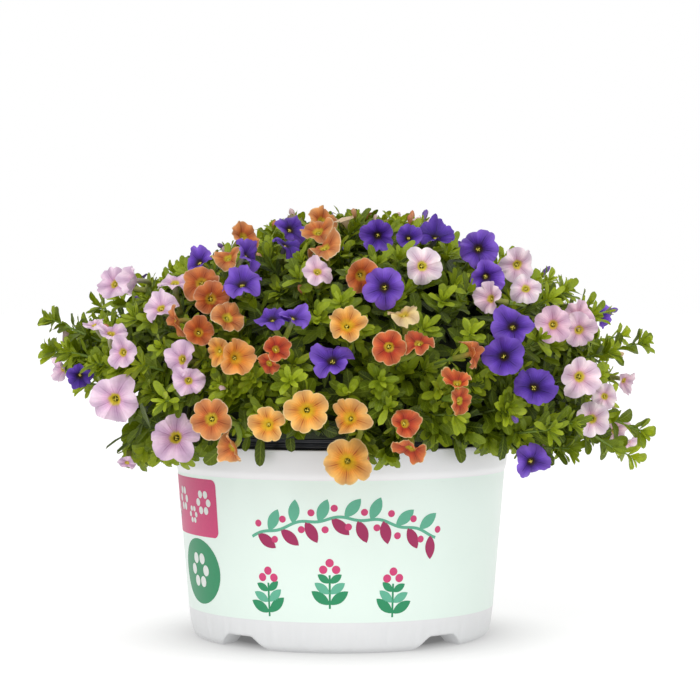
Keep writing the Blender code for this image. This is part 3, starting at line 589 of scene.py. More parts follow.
def back_truss(azimuth, elevation, colour):
    """A ring of blooms on the side that faces away."""
    azimuth, elevation = math.radians(azimuth), math.radians(elevation)
    middle = mound_point(azimuth, elevation, BACK_SHARE)
    outward = (middle - mound_point(azimuth, elevation, CORE_SHARE)).normalized()
    side, other = frame_along(outward)
    rng = random.Random(f"back {azimuth:.3f}")
    start = rng.uniform(0, FULL_TURN)
    blooms = []
    for k in range(BACK_BLOOMS):
        lean = spoke(side, other, start + k * FULL_TURN / BACK_BLOOMS)
        centre = middle + lean * BACK_SPREAD + outward * rng.uniform(-3, 3)
        facing = (outward + lean * 0.5).normalized()
        size = BACK_SIZE * rng.uniform(0.88, 1.05)
        blooms.append(Bloom(centre, facing, size, rng.uniform(0, FULL_TURN)))
    return truss(colour, blooms, *BACK_VARIETY)


def is_free(point, blooms, margin, view=BLOOM_VIEW):
    """True where a leaf or a shoot may pass: clear of the pot, of the gaps in the foliage, of every bloom
    and its tube, and of the view into each bloom."""
    if point.z < COLLAR_TOP + 4 and math.hypot(point.x, point.y) < RIM_RADIUS + 3:
        return False
    if point.z < RIB_GAP_TOP and any(low < azimuth_of(point) < high for low, high in RIB_GAPS):
        return False
    if point.x < LEFT_GAP_EDGE and point.z < LEFT_GAP_TOP:
        return False
    for b in blooms:
        away = point - b.centre
        if away.length > 0.5 * b.size + 34:
            continue
        ahead = away.dot(b.facing)
        around = (away - b.facing * ahead).length
        if -LIMB_DROP * b.size - margin < ahead < 4 + margin and around < 0.5 * b.size + margin:
            return False
        if 0 <= ahead < 15 and around < view * b.size:
            return False
        tube = b.foot - b.centre
        along = clamp(away.dot(tube) / tube.length_squared)
        radius = (1 - along) * THROAT_OUTER * b.size + along * TUBE_FOOT
        if (away - tube * along).length < radius + margin:
            return False
    return True


def has_room(leaf, plant, blooms, margin, view=BLOOM_VIEW):
    """True where a leaf's middle and both its edges are free, and near enough to its own plant."""
    half = leaf.direction.cross(leaf.normal) * leaf.width / 2
    for t in (0.25, 0.5, 0.75, 1.0):
        middle = leaf.base + leaf.direction * leaf.length * t - leaf.normal * leaf.arch * leaf.length * t * t
        for point in (middle, middle + half, middle - half) if t < 1 else (middle,):
            if plane_distance(point, plant) <= -LEAF_CROSSING or not is_free(point, blooms, margin, view):
                return False
    return True


def leaning_leaf(base, axis, radial, lean, length, width, arch):
    """A leaf that leans from an axis towards a direction at right angles to it."""
    direction = (axis * math.cos(lean) + radial * math.sin(lean)).normalized()
    normal = (axis * math.sin(lean) - radial * math.cos(lean)).normalized()
    return Leaf(base, direction, normal, length, width, arch)


def turn_to_light(leaf, place):
    """Turns the face of a leaf part of the way outwards and up, as seen from a place on its shoot."""
    light = (place - UP * LIGHT_CENTRE).normalized()
    light.y -= SIDE_TURN * light.x * light.x
    level = light - leaf.direction * light.dot(leaf.direction)
    turned = leaf.normal * (1 - LIGHT_TURN) + level * LIGHT_TURN
    if turned.length > 0.15:
        leaf.normal = turned.normalized()


def shoot_leaf(root, tip, share, turn, rng):
    """The forms of a leaf to try, at a share of the way along a shoot."""
    base, axis = root.lerp(tip, share), (tip - root).normalized()
    side, other = frame_along(axis)
    size = (1.12 - 0.42 * share) * rng.uniform(0.85, 1.12)
    slim = rng.uniform(0.85, 1.1) * (1.0 - 0.25 * share)
    lean = math.radians(72 - 36 * share) + rng.uniform(-0.12, 0.12)
    arch = rng.uniform(0.05, 0.28)
    for bend, swing, shorter in LEAF_TRIES:
        radial = spoke(side, other, turn + swing)
        length, width = LEAF_LENGTH * size * shorter, LEAF_WIDTH * size * slim
        leaf = leaning_leaf(base, axis, radial, lean * bend, length, width, arch)
        leaf.share = share
        turn_to_light(leaf, base)
        yield leaf


def shoot_ends(kind, place, rng):
    """Where the stem of a shoot starts and ends."""
    if kind == "spray":
        return [Vector(end) for end in SPRAYS[place]]
    if kind in SPREADS:
        lowest, first, stray, turn, rise, reach = SPREADS[kind]
        low = math.sin(lowest)
        elevation = math.asin(low + (1 - low) * (place + 0.5) / SHOOTS[kind])
        azimuth = first + place * GOLDEN + (rng.uniform(-stray, stray) if stray else 0)
        root = shoot_point(azimuth, elevation, ROOT_SHARE)
        turn, rise, share = rng.uniform(-turn, turn), rng.uniform(*rise), rng.uniform(*reach)
        return root, shoot_point(azimuth + turn, elevation + rise, share)
    azimuth = (place + 0.5) * FULL_TURN / SHOOTS[kind] + rng.uniform(-HANG_STRAY, HANG_STRAY)
    if kind == "skirt":
        ahead, _, right = leanings(azimuth)
        reach = SKIRT_REACH + SKIRT_SPREAD * right + rng.uniform(-8, 6)
        height = SKIRT_HEIGHT + SKIRT_FRONT_LIFT * ahead + rng.uniform(-8, 8) + SKIRT_RIGHT_LIFT * right
    else:
        reach = DRAPE_REACH + rng.uniform(-8, 12)
        height = DRAPE_HEIGHT + rng.uniform(-14, 8)
    return mound_point(azimuth, LOWEST_ROOT, ROOT_SHARE), polar(1, azimuth) * reach + UP * height


def shoot_layout(kind, place, index, blooms):
    """A shoot with the leaves that have room on it, or None if its stem would cross a bloom."""
    rng = random.Random(1000 + index)
    root, tip = shoot_ends(kind, place, rng)
    plant = plant_of(azimuth_of(root))
    root, tip = (kept_in_plant(end, plant, SHOOT_RADIUS + 0.5) for end in (root, tip))
    middle, reach = (root + tip) / 2, (tip - root).length / 2 + 90
    near = [b for b in blooms if (b.centre - middle).length < reach]
    if not all(is_free(root.lerp(tip, t), near, SHOOT_RADIUS + 1.2) for t in STEM_CHECKS):
        return None
    broader, longer = LEAF_SCALES.get(kind, (1, 1))
    view = BLOOM_VIEW if kind in ("mound", "skirt") else FILL_VIEW
    leaves = []
    for k in range(LEAVES_PER_SHOOT):
        share = FIRST_LEAF + (1 - FIRST_LEAF) * k / (LEAVES_PER_SHOOT - 1)
        forms = shoot_leaf(root, tip, share, k * GOLDEN, rng)
        leaf = next((form for form in forms if has_room(form, plant, near, 2.0, view)), None)
        if leaf:
            leaf.width *= broader
            leaf.length *= longer
            leaves.append(leaf)
    young = young_leaves(root, tip, plant, near, index, kind in LEAF_SCALES)
    return Shoot(kind, root, tip, plant, leaves, young)


def young_leaves(root, tip, plant, blooms, index, broad):
    """The narrow young leaves that stand round the tip of a shoot."""
    rng = random.Random(5000 + index)
    axis = (tip - root).normalized()
    side, other = frame_along(axis, rng.uniform(0, 6))
    breadth = rng.uniform(0.23, 0.42) + (0.14 if broad else 0)
    made = []
    for k in range(YOUNG_LEAVES):
        lean = math.radians(12 + 8.5 * k) * rng.uniform(0.8, 1.2)
        length = rng.uniform(6.5, 9.5) + 1.0 * k
        width, arch = breadth * length + 0.2 * k, rng.uniform(-0.12, 0.3)
        radial = spoke(side, other, k * GOLDEN)
        leaf = leaning_leaf(tip - axis * (0.6 * k), axis, radial, lean, length, width, arch)
        turn_to_light(leaf, tip)
        if has_room(leaf, plant, blooms, 1.2, FILL_VIEW):
            made.append(leaf)
    return made


class Surface:
    """Points, faces, a place on the petal or leaf for each point, and a material slot for each face."""

    def __init__(self, lift=0.0):
        self.points, self.faces, self.places, self.slots = [], [], [], []
        self.count = 0
        self.lift = lift

    def add(self, points, faces, places=(0, 0, 0), slot=0):
        """places is one place for all points or one for each: (across, along, tint)."""
        self.points.append(np.asarray(points, float))
        self.places.append(np.broadcast_to(np.asarray(places, float), (len(points), 3)))
        self.faces += [tuple(self.count + index for index in face) for face in faces]
        self.slots += [slot] * len(faces)
        self.count += len(points)

    def build(self, name, materials):
        mesh = bpy.data.meshes.new(name)
        points = np.concatenate(self.points) * MM
        mesh.from_pydata(points.tolist(), [], self.faces)
        place = mesh.attributes.new("place", "FLOAT_VECTOR", "POINT")
        place.data.foreach_set("vector", np.concatenate(self.places).ravel())
        for finish in materials:
            mesh.materials.append(finish)
        mesh.polygons.foreach_set("material_index", self.slots)
        mesh.polygons.foreach_set("use_smooth", [True] * len(mesh.polygons))
        mesh.update()
        made = linked(name, mesh)
        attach(made, "root")
        return made


def linked(name, data):
    """A new object in the scene."""
    made = bpy.data.objects.new(name, data)
    bpy.context.scene.collection.objects.link(made)
    return made


def grid_faces(rows, columns, closed=False):
    """Faces of a grid of points in rows. A closed grid joins its last column to its first."""
    faces = []
    for r in range(rows - 1):
        for c in range(columns if closed else columns - 1):
            nxt = (c + 1) % columns
            faces.append((r * columns + c, r * columns + nxt, (r + 1) * columns + nxt, (r + 1) * columns + c))
    return faces


def blade_grid(rows, columns):
    """The grid of a leaf's blade: how far along and to the side each point lies, and the faces. The tip
    comes last."""
    along, side = np.meshgrid(rows, columns, indexing="ij")
    tip, last = along.size, along.size - len(columns)
    faces = grid_faces(len(rows), len(columns))
    faces += [(last + c, last + c + 1, tip) for c in range(len(columns) - 1)]
    return np.append(along, 1.0), np.append(side, 0.0), faces


LEAF_GRID = blade_grid((0.0, 0.16, 0.34, 0.52, 0.7, 0.85, 0.95), (-1.0, -0.45, 0.0, 0.45, 1.0))
SMALL_GRID = blade_grid((0.0, 0.25, 0.58, 0.88), (-1.0, 0.0, 1.0))


def flat(vector):
    return np.array((vector.x, vector.y, vector.z))


def columns_of(across, along, tint):
    """Places from three columns, any of which may be a single number."""
    return np.column_stack(np.broadcast_arrays(across, along, tint))


def headings(line):
    """The way a line runs at each of its points."""
    last = len(line) - 1
    return [(line[min(k + 1, last)] - line[max(k - 1, 0)]).normalized() for k in range(last + 1)]


def blade_width(along):
    """The half width of a blade along its length, as a share of its widest."""
    return 0.1 * (1 - along) + 2.33 * along**1.05 * (1 - along) ** 0.48


def add_leaf(surface, leaf, tint, grid=LEAF_GRID, fold=0.22, ripple=0.0):
    """A leaf blade folded along its middle, arched towards its tip."""
    along, side, faces = grid
    direction, normal = flat(leaf.direction), flat(leaf.normal)
    half = leaf.width / 2 * blade_width(along)
    lift = fold * np.abs(side) * half - leaf.arch * leaf.length * along**2
    lift = lift + ripple * np.abs(side) * np.sin(along * 9 + tint * 30)
    points = flat(leaf.base) + np.outer(leaf.length * along, direction)
    points = points + np.outer(half * side, np.cross(direction, normal)) + np.outer(lift, normal)
    surface.add(points, faces, columns_of(side, along, tint))


def add_tube(surface, line, radii, sides, tint=0.5):
    """An open tube along a line of points, in the colour of stems."""
    points = []
    for point, ahead, radius in zip(line, headings(line), radii):
        side, other = frame_along(ahead)
        points += [flat(point + spoke(side, other, FULL_TURN * s / sides) * radius) for s in range(sides)]
    places = columns_of(0, np.repeat(np.linspace(0, 1, len(line)), sides), tint)
    surface.add(points, grid_faces(len(line), sides, closed=True), places, 1)


def lobe_values(rng, low, high, lobe):
    """A random number for each lobe, spread over the columns of a limb."""
    return np.array([rng.uniform(low, high) for _ in range(LOBES)])[lobe]


def add_corolla(surface, bloom):
    """The petals of one bloom: a five-lobed limb with folded, ruffled lobes, and the tube behind it."""
    size, centre = bloom.size, bloom.centre
    rng = random.Random(f"petals {centre.x:.1f} {centre.z:.1f}")
    side, other = frame_along(bloom.facing, bloom.spin)
    phi = np.linspace(0, FULL_TURN, COLUMNS + 1)
    turns = phi * LOBES / FULL_TURN
    lobe = np.floor(turns).astype(int) % LOBES
    off = 2 * (turns - np.floor(turns)) - 1
    bulge = 1 - off**2
    gain = lobe_values(rng, -0.1, 0.07, lobe) * bulge
    lift = lobe_values(rng, -0.23, 0.19, lobe) * bulge
    twist = lobe_values(rng, -0.2, 0.2, lobe) * bulge * off
    notch = rng.uniform(0.10, 0.20)
    edge = 0.5 * size * (1 - notch * np.abs(off) ** 3.2 - 0.03 * np.exp(-((off / 0.1) ** 2)) + gain)
    phase = [rng.uniform(0, FULL_TURN) for _ in range(4)]
    wave = LIMB_WAVE * size * np.sin(2 * phi + bloom.spin)
    ruffle = sum(share * np.sin(count * phi + start) for (count, share), start in zip(RUFFLES, phase))
    crease = np.exp(-((off / 0.14) ** 2))
    fold = rng.uniform(0.0, 0.18) * np.cos(2 * (phi - phase[3]))
    cup = rng.uniform(-0.04, 0.1) + max(0.0, rng.uniform(-0.4, 0.22))
    tint = rng.random()
    mouth = MOUTH_SHARE * size
    out = around(side, other, phi)
    points, places, skins = [], [], []
    for v in np.linspace(0, 1, LIMB_ROWS):
        radius = mouth + (edge - mouth) * v
        height = -LIMB_DROP * size * (1 - v) ** 2.4 + v * wave
        height = height + size * v * ((lift + twist + fold) * v + 0.07 * (np.abs(off) - 0.45) * (1 - 0.5 * v))
        height = height + size * (0.026 * v**3 * ruffle + cup * v**2 - 0.06 * v**5 - 0.04 * v * crease)
        points.append(flat(centre) + out * radius[:, None] + np.outer(height, flat(bloom.facing)))
        places.append(columns_of(turns, v, tint))
        skins.append(points[-1] - flat(bloom.facing) * SLEEVE_GAP + out * SLEEVE_GAP * (1 - v))
    start = centre - bloom.facing * LIMB_DROP * size
    knee = start - bloom.facing * (start - bloom.foot).length * 0.45
    for j in range(1, TUBE_ROWS + 1):
        q = j / TUBE_ROWS
        spot = start * (1 - q) ** 2 + knee * 2 * q * (1 - q) + bloom.foot * q * q
        tangent = ((knee - start) * (1 - q) + (bloom.foot - knee) * q).normalized()
        side = (side - tangent * side.dot(tangent)).normalized()
        ring = around(side, side.cross(tangent), phi)
        radius = TUBE_FOOT + (mouth - TUBE_FOOT) * (1 - q) ** 1.4
        points.insert(0, flat(spot) + ring * radius)
        places.insert(0, columns_of(turns, -q, tint))
        skins.insert(0, flat(spot) + ring * (radius + SLEEVE_GAP))
    surface.add(np.vstack(points), grid_faces(len(points), COLUMNS + 1), np.vstack(places))
    add_sleeve(surface, [skin[::2] for skin in skins[:SLEEVE_ROWS]], turns[::2], tint)


def around(side, other, phi):
    """The directions at several turns from one direction towards another."""
    return np.outer(np.cos(phi), flat(side)) + np.outer(np.sin(phi), flat(other))


def add_sleeve(surface, skins, turns, tint):
    """The outside of a bloom's tube and funnel, just off the inside. It is placed from -2 at the foot to
    -1 on the limb."""
    places = [columns_of(turns, k / (len(skins) - 1) - 2, tint) for k in range(len(skins))]
    faces = [face[::-1] for face in grid_faces(len(skins), len(turns))]
    surface.add(np.vstack(skins), faces, np.vstack(places))


def add_ball(surface, centre, radius, sides, tint=0.0, slot=0):
    """A small round knob with four rows of faces."""
    rows, centre = 4, np.array(centre)
    rings = []
    for r in range(1, rows):
        polar_angle = math.pi * r / rows
        for s in range(sides):
            turn = FULL_TURN * s / sides
            across = math.sin(polar_angle)
            rings.append((across * math.cos(turn), across * math.sin(turn), math.cos(polar_angle)))
    points = centre + np.array([(0, 0, 1), *rings, (0, 0, -1)]) * radius
    faces = [(0, 1 + s, 1 + (s + 1) % sides) for s in range(sides)]
    for r in range(rows - 2):
        for s in range(sides):
            a, b = 1 + r * sides + s, 1 + r * sides + (s + 1) % sides
            faces.append((a, a + sides, b + sides, b))
    last = 1 + (rows - 2) * sides
    faces += [(last + s, len(points) - 1, last + (s + 1) % sides) for s in range(sides)]
    surface.add(points, faces, (0, 0, tint), slot)


def add_stamens(surface, bloom):
    """The stigma and the anthers that show in the mouth of a bloom."""
    side, other = frame_along(bloom.facing, bloom.spin)
    rng = random.Random(f"stamens {bloom.centre.x:.1f} {bloom.centre.z:.1f}")
    deep = bloom.centre - bloom.facing * (LIMB_DROP * bloom.size - 0.2)
    add_ball(surface, flat(deep + side * rng.uniform(-0.3, 0.3)), 0.6, 6, 0.5, 1)
    for k in range(4):
        turn = k * math.pi / 2 + rng.uniform(-0.5, 0.5)
        out = MOUTH_SHARE * bloom.size * rng.uniform(0.45, 0.7)
        spot = deep + spoke(side, other, turn) * out - bloom.facing * rng.uniform(0.1, 0.9)
        add_ball(surface, flat(spot), rng.uniform(0.4, 0.58), 5, 0.5, 1)


def feed(tree, socket, value):
    """Links a signal to a socket, or sets a number or a colour on it."""
    if isinstance(value, Signal):
        tree.links.new(value.socket, socket)
    elif isinstance(value, tuple) and len(value) == 3 and socket.type == "RGBA":
        socket.default_value = (*value, 1)
    else:
        socket.default_value = value


def add_node(tree, kind, inputs, output=0, **settings):
    """Adds a node with its settings, feeds its inputs, and gives one of its outputs."""
    node = tree.nodes.new("ShaderNode" + kind)
    for name, value in settings.items():
        setattr(node, name, value)
    for name, value in inputs.items():
        feed(tree, node.inputs[name], value)
    return Signal(tree, node.outputs[output])


class Signal:
    """What comes out of a node. Arithmetic on it adds more nodes."""

    def __init__(self, tree, socket):
        self.tree, self.socket = tree, socket

    def maths(self, operation, other=0.0):
        return add_node(self.tree, "Math", {0: self, 1: other}, operation=operation)

    def __add__(self, other):
        return self.maths("ADD", other)

    def __sub__(self, other):
        return self.maths("SUBTRACT", other)

    def __mul__(self, other):
        return self.maths("MULTIPLY", other)

    def ramp(self, low, high, kind="SMOOTHSTEP"):
        """0 below low and 1 above high. With low above high, the other way round."""
        ends = {1: high, 2: low, 3: 1, 4: 0} if low > high else {1: low, 2: high, 3: 0, 4: 1}
        return add_node(self.tree, "MapRange", {0: self, **ends}, interpolation_type=kind)

    def split(self):
        first = add_node(self.tree, "SeparateXYZ", {0: self})
        return [Signal(self.tree, output) for output in first.socket.node.outputs]


class Finish:
    """A procedural material, painted colour over colour."""

    def __init__(self, name, colour, roughness, **constants):
        self.material = bpy.data.materials.new(name)
        self.material.use_nodes = True
        self.tree = self.material.node_tree
        self.shader = self.tree.nodes["Principled BSDF"]
        self.shader.inputs["Roughness"].default_value = roughness
        for socket, value in constants.items():
            self.shader.inputs[socket.replace("_", " ")].default_value = value
        self.spot = add_node(self.tree, "TexCoord", {}, "Object")
        self.shade = colour

    def place(self):
        """Across, along and tint: where a point lies on its leaf or petal."""
        return add_node(self.tree, "Attribute", {}, "Vector", attribute_name="place").split()

    def noise(self, scale, detail, stretch=None):
        spot = self.spot
        if stretch:
            spot = add_node(self.tree, "Mapping", {"Scale": stretch, "Vector": spot})
        return add_node(self.tree, "TexNoise", {"Scale": scale, "Detail": detail, "Vector": spot}, "Fac")

    def mix(self, factor, a, b, blend="MIX"):
        settings = {"data_type": "RGBA", "blend_type": blend}
        return add_node(self.tree, "Mix", {0: factor, 6: a, 7: b}, 2, **settings)

    def paint(self, factor, colour):
        """Lays a colour over what is there, as strongly as the factor says."""
        self.shade = self.mix(factor, self.shade, colour)

    def tint(self, factor, low, high):
        """Multiplies what is there by a colour between two."""
        self.shade = self.mix(1.0, self.shade, self.mix(factor, low, high), "MULTIPLY")

    def bump(self, height, strength, distance):
        inputs = {"Strength": strength, "Distance": distance, "Height": height}
        feed(self.tree, self.shader.inputs["Normal"], add_node(self.tree, "Bump", inputs))

    def glow_through(self, share, colour):
        """Lets a share of the light through a thin blade."""
        thin = add_node(self.tree, "BsdfTranslucent", {"Color": colour})
        solid = Signal(self.tree, self.shader.outputs[0])
        blend = add_node(self.tree, "MixShader", {0: share, 1: solid, 2: thin})
        feed(self.tree, self.tree.nodes["Material Output"].inputs["Surface"], blend)

    def done(self):
        feed(self.tree, self.shader.inputs["Base Color"], self.shade)
        return self.material


def petal_finish(name, rim, limb, inner, vein, throat):
    """Petals: paler at the rim, veined, darker along each lobe's middle, with a coloured throat. Painted
    light and shade makes each lobe a little lighter or darker at random.
    """
    veined, deepened, edged, throat_reach = VEINS[name]
    finish = Finish("petal_" + name, limb, 0.5, Specular_IOR_Level=0.3)
    across, along, tint = finish.place()
    middle = (across.maths("FRACT") - 0.5).maths("ABSOLUTE")
    lobe = (((across.maths("FLOOR") + tint * 7.3) * 12.9).maths("SINE") * 43.7).maths("FRACT")
    finish.paint(along.ramp(0.35, 1.0), rim)
    finish.paint(along.ramp(0.5, 0.08) * deepened, inner)
    lines = (across * 44.0 + finish.noise(160, 3) * 9.0).maths("SINE")
    finish.paint(lines.ramp(0.45, 1.0) * along.ramp(0.85, 0.15) * (0.5 * veined), vein)
    wander = (finish.noise(300, 2) - 0.5) * 0.03
    rib = (middle + along * 0.02 + wander).ramp(0.055, 0.015)
    finish.paint(rib * along.ramp(1.0, 0.35) * veined, vein)
    finish.paint(along.ramp(0.3, 0.12) * middle.ramp(0.5, 0.02) * (0.7 * deepened), vein)
    band = finish.mix(middle.ramp(0.1, 0.4), (0.8, 0.76, 0.82), (1.1, 1.12, 1.08))
    finish.paint(along.ramp(0.1, 0.5), finish.mix(1.0, finish.shade, band, "MULTIPLY"))
    uneven = (finish.noise(420, 2) - 0.5) * 0.13
    finish.paint((along + uneven + middle * -0.06).ramp(throat_reach, 0.06), throat)
    deep = tuple(0.5 * (a + 0.8 * b) for a, b in zip(THROAT_DEEP, throat))
    finish.paint(along.ramp(0.03, -0.02), deep)
    finish.paint(along.ramp(-0.05, -0.3), THROAT_DARK)
    outside = finish.mix(along.ramp(-1.25, -1.75), rim, TUBE_GREEN)
    outside = finish.mix(lines.ramp(0.2, 1.0) * 0.25, outside, inner)
    finish.paint(along.ramp(-0.95, -1.0), outside)
    margin = along + finish.noise(260, 3) * 0.12
    finish.paint(margin.ramp(0.97, 1.07) * edged, PALE_RIM)
    finish.tint(finish.noise(220, 4), (0.8, 0.8, 0.8), (1.14, 1.14, 1.14))
    # Painted light and shade: each lobe a little lighter or darker at random, as lobes in light and in shade
    finish.tint(lobe, (0.88, 0.86, 0.88), (1.07, 1.08, 1.07))
    finish.tint(tint, *SWAY[name])
    finish.glow_through(0.22, finish.shade)
    finish.bump(lines + finish.noise(700, 2), 0.3, 0.0003)
    return finish.done()


def leaf_finish():
    """Leaves: deep green inside the mound, which is painted shade, and yellow-green at the tips, with a pale
    midrib and fine veins.
    """
    finish = Finish("leaf", LEAF_DEEP, 0.42, Specular_IOR_Level=0.33)
    across, along, tint = finish.place()
    side = across.maths("ABSOLUTE")
    finish.paint(tint.ramp(0.0, 0.5, "LINEAR"), LEAF_MID)
    finish.paint(tint.ramp(0.45, 1.0, "LINEAR"), LEAF_BRIGHT)
    lines = (along * 46.0 - side * 9.0).maths("SINE")
    finish.paint(lines.ramp(0.7, 1.0) * 0.22, LEAF_RIB)
    finish.paint(side.ramp(0.13, 0.02) * 0.6, LEAF_RIB)
    finish.tint(finish.noise(260, 4), (0.66, 0.7, 0.6), (1.28, 1.22, 1.1))
    finish.glow_through(0.25, finish.mix(1.0, finish.shade, (1.3, 1.2, 0.5), "MULTIPLY"))
    finish.bump(lines * 0.6 + finish.noise(2600, 1), 0.35, 0.0003)
    return finish.done()


def stem_finish():
    """Stems, stalks and calyces: pale green, duller and browner towards the foot."""
    finish = Finish("stem", (0.07, 0.085, 0.015), 0.55)
    along = finish.place()[1]
    finish.paint(along.ramp(0.1, 0.8), (0.17, 0.27, 0.03))
    finish.paint(finish.noise(500, 3) * 0.5, (0.24, 0.33, 0.07))
    finish.bump(finish.noise(1800, 2), 0.4, 0.0003)
    return finish.done()


def shade_finish():
    """Painted shade inside the plants: a near-black green with a rough grain, standing for deep shadow."""
    finish = Finish("painted_shade_foliage", (0.003, 0.005, 0.001), 0.85)
    grain = finish.noise(90, 6)
    finish.paint(grain, (0.022, 0.034, 0.005))
    finish.bump(grain, 1.0, 0.006)
    return finish.done()


def bud_finish():
    """Furled buds: pink, cream, orange or violet by their tint, and greener towards the foot."""
    finish = Finish("bud", (0.80, 0.58, 0.62), 0.55)
    across, along, tint = finish.place()
    finish.paint(tint.ramp(0.35, 0.45), (0.82, 0.62, 0.34))
    finish.paint(tint.ramp(0.6, 0.63), (0.72, 0.24, 0.09))
    finish.paint(tint.ramp(0.8, 0.82), (0.14, 0.055, 0.47))
    pleats = (across * 31.4).maths("SINE")
    finish.paint(pleats.ramp(0.2, 1.0) * 0.3, (0.55, 0.36, 0.26))
    finish.paint(along.ramp(0.45, 0.05), TUBE_GREEN)
    finish.glow_through(0.2, finish.shade)
    finish.paint(finish.noise(500, 3) * 0.12, (0.75, 0.7, 0.5))
    finish.bump(pleats, 0.3, 0.0004)
    return finish.done()


def anther_finish():
    finish = Finish("anther", (0.70, 0.56, 0.05), 0.6)
    finish.paint(finish.noise(900, 2), (0.86, 0.76, 0.16))
    return finish.done()


def pot_finish():
    """White moulded plastic, with a pale mint printed zone between the foot and the rim band. The band and
    the top of the printed zone are painted lighter than the foot: painted light against the foliage's shade.
    """
    finish = Finish("white_pot", (0.725, 0.735, 0.745), 0.34, Coat_Weight=0.15, Coat_Roughness=0.2)
    height = finish.spot.split()[2]
    low, high, soft = LABEL_LOW * MM, LABEL_HIGH * MM, 0.0002
    finish.paint(finish.noise(40, 3), (0.77, 0.775, 0.78))
    # Painted light: the rim band is whiter than the foot
    finish.paint(height.ramp(low, high), BAND_WHITE_PAINTED_LIGHT)
    print_zone = finish.mix(finish.noise(60, 2), (0.76, 0.88, 0.81), (0.78, 0.895, 0.825))
    # Painted light: the printed zone grows lighter towards its top
    print_zone = finish.mix(height.ramp(0.5 * high, high), print_zone, LABEL_TOP_PAINTED_LIGHT)
    finish.paint(height.ramp(low - soft, low + soft) * height.ramp(high + soft, high - soft), print_zone)
    scuff = finish.noise(150, 6, stretch=(1, 1, 6)).ramp(0.62, 0.8)
    finish.paint(scuff * 0.12, (0.62, 0.63, 0.62))
    finish.bump(finish.noise(900, 2), 0.08, 0.0003)
    return finish.done()


def print_finish(name, colour):
    """Ink of one colour on the printed zone."""
    finish = Finish("ink_" + name, tuple(0.86 * c for c in colour), 0.4)
    finish.paint(finish.noise(400, 3), colour)
    return finish.done()


def black_finish():
    """Thin black pot plastic, a little dusty."""
    finish = Finish("black_pot", (0.030, 0.033, 0.040), 0.3)
    finish.paint(finish.noise(120, 5).ramp(0.45, 0.85), (0.085, 0.088, 0.098))
    finish.bump(finish.noise(600, 3), 0.2, 0.0004)
    return finish.done()


def soil_finish():
    """Damp peat mix with lighter fibres and specks."""
    finish = Finish("peat", (0.012, 0.008, 0.005), 0.95)
    grain = finish.noise(160, 8)
    finish.paint(grain, (0.10, 0.062, 0.035))
    finish.paint(finish.noise(420, 2).ramp(0.68, 0.74), (0.45, 0.42, 0.36))
    finish.bump(grain, 1.0, 0.004)
    return finish.done()


def floor_finish():
    """A pale floor that glows a little, but hardly under the pot: a painted contact shadow round its foot."""
    finish = Finish("floor", (0.31, 0.31, 0.31), 0.8, Emission_Color=(1, 1, 1, 1))
    x, y, _ = finish.spot.split()
    # Painted contact shadow: less glow near and under the pot
    near = (x * x + y * y).maths("SQRT").ramp(*FLOOR_SHADE).maths("POWER", FLOOR_RISE)
    glow = near * (FLOOR_GLOW - FLOOR_UNDER_POT) + FLOOR_UNDER_POT
    feed(finish.tree, finish.shader.inputs["Emission Strength"], glow)
    finish.paint(finish.noise(3, 2), (0.33, 0.33, 0.33))
    return finish.done()


def build_blooms(trusses):
    """One piece for each truss, in place of its solid."""
    petals = {name: petal_finish(name, *shades) for name, shades in PETALS.items()}
    anthers = anther_finish()
    counts = {}
    for bunch in trusses:
        colour = bunch.colour
        counts[colour] = counts.get(colour, 0) + 1
        surface = Surface()
        for bloom in bunch.blooms:
            add_corolla(surface, bloom)
            add_stamens(surface, bloom)
        piece = surface.build(f"petals_{colour}_{counts[colour]}", [petals[colour], anthers])
        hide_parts(f"bloom_{colour}_{counts[colour]}")
        "petal_" + colour


def pedicel_root(bunch):
    """Where the green stalk of a truss starts, inside the plant's core."""
    inside = bunch.foot - bunch.aim * CALYX_LENGTH * 2
    elevation = math.atan2(inside.z - MOUND_CENTRE, math.hypot(inside.x, inside.y))
    root = mound_point(azimuth_of(inside), max(elevation, LOWEST_ROOT), ROOT_SHARE)
    return kept_in_plant(root, bunch.plant, PEDICEL_RADIUS + 1.0)


def add_calyx(surface, bunch, rng):
    """The stalk of a truss and its narrow green sepals."""
    top, root = bunch.foot - bunch.aim * 0.4, pedicel_root(bunch)
    waist = top - bunch.aim * CALYX_LENGTH
    bend = waist - bunch.aim * 10
    line = [root, root.lerp(bend, 0.5), bend, waist, top.lerp(waist, 0.4), top]
    add_tube(surface, line, [PEDICEL_RADIUS] * 4 + [2.0, 2.1], 6)
    side, other = frame_along(bunch.aim, rng.uniform(0, 6))
    for k in range(SEPALS):
        radial = spoke(side, other, FULL_TURN * k / SEPALS)
        base, lean = waist + bunch.aim * 1.5 + radial * 1.2, rng.uniform(0.5, 0.95)
        sepal = leaning_leaf(base, bunch.aim, radial, lean, rng.uniform(9, 12), 2.8, 0.2)
        add_leaf(surface, sepal, rng.uniform(0.5, 0.8))


def painted_light_at(tip):
    """How much brighter than the others the leaves of a shoot are, as painted light and shade: low over the
    pot's front and on top they are darker, and on the left lighter."""
    azimuth = azimuth_of(tip)
    ahead, left, _ = leanings(azimuth)
    low = clamp((DIM_BELOW - tip.z) / DIM_SPAN) if math.cos(azimuth) > 0 else 0.0
    high = max(0.0, (tip.z - MOUND_CENTRE) / MOUND_UP)
    return BRIGHT_LEFT * left - DIM_FRONT * low * ahead - DIM_TOP * high


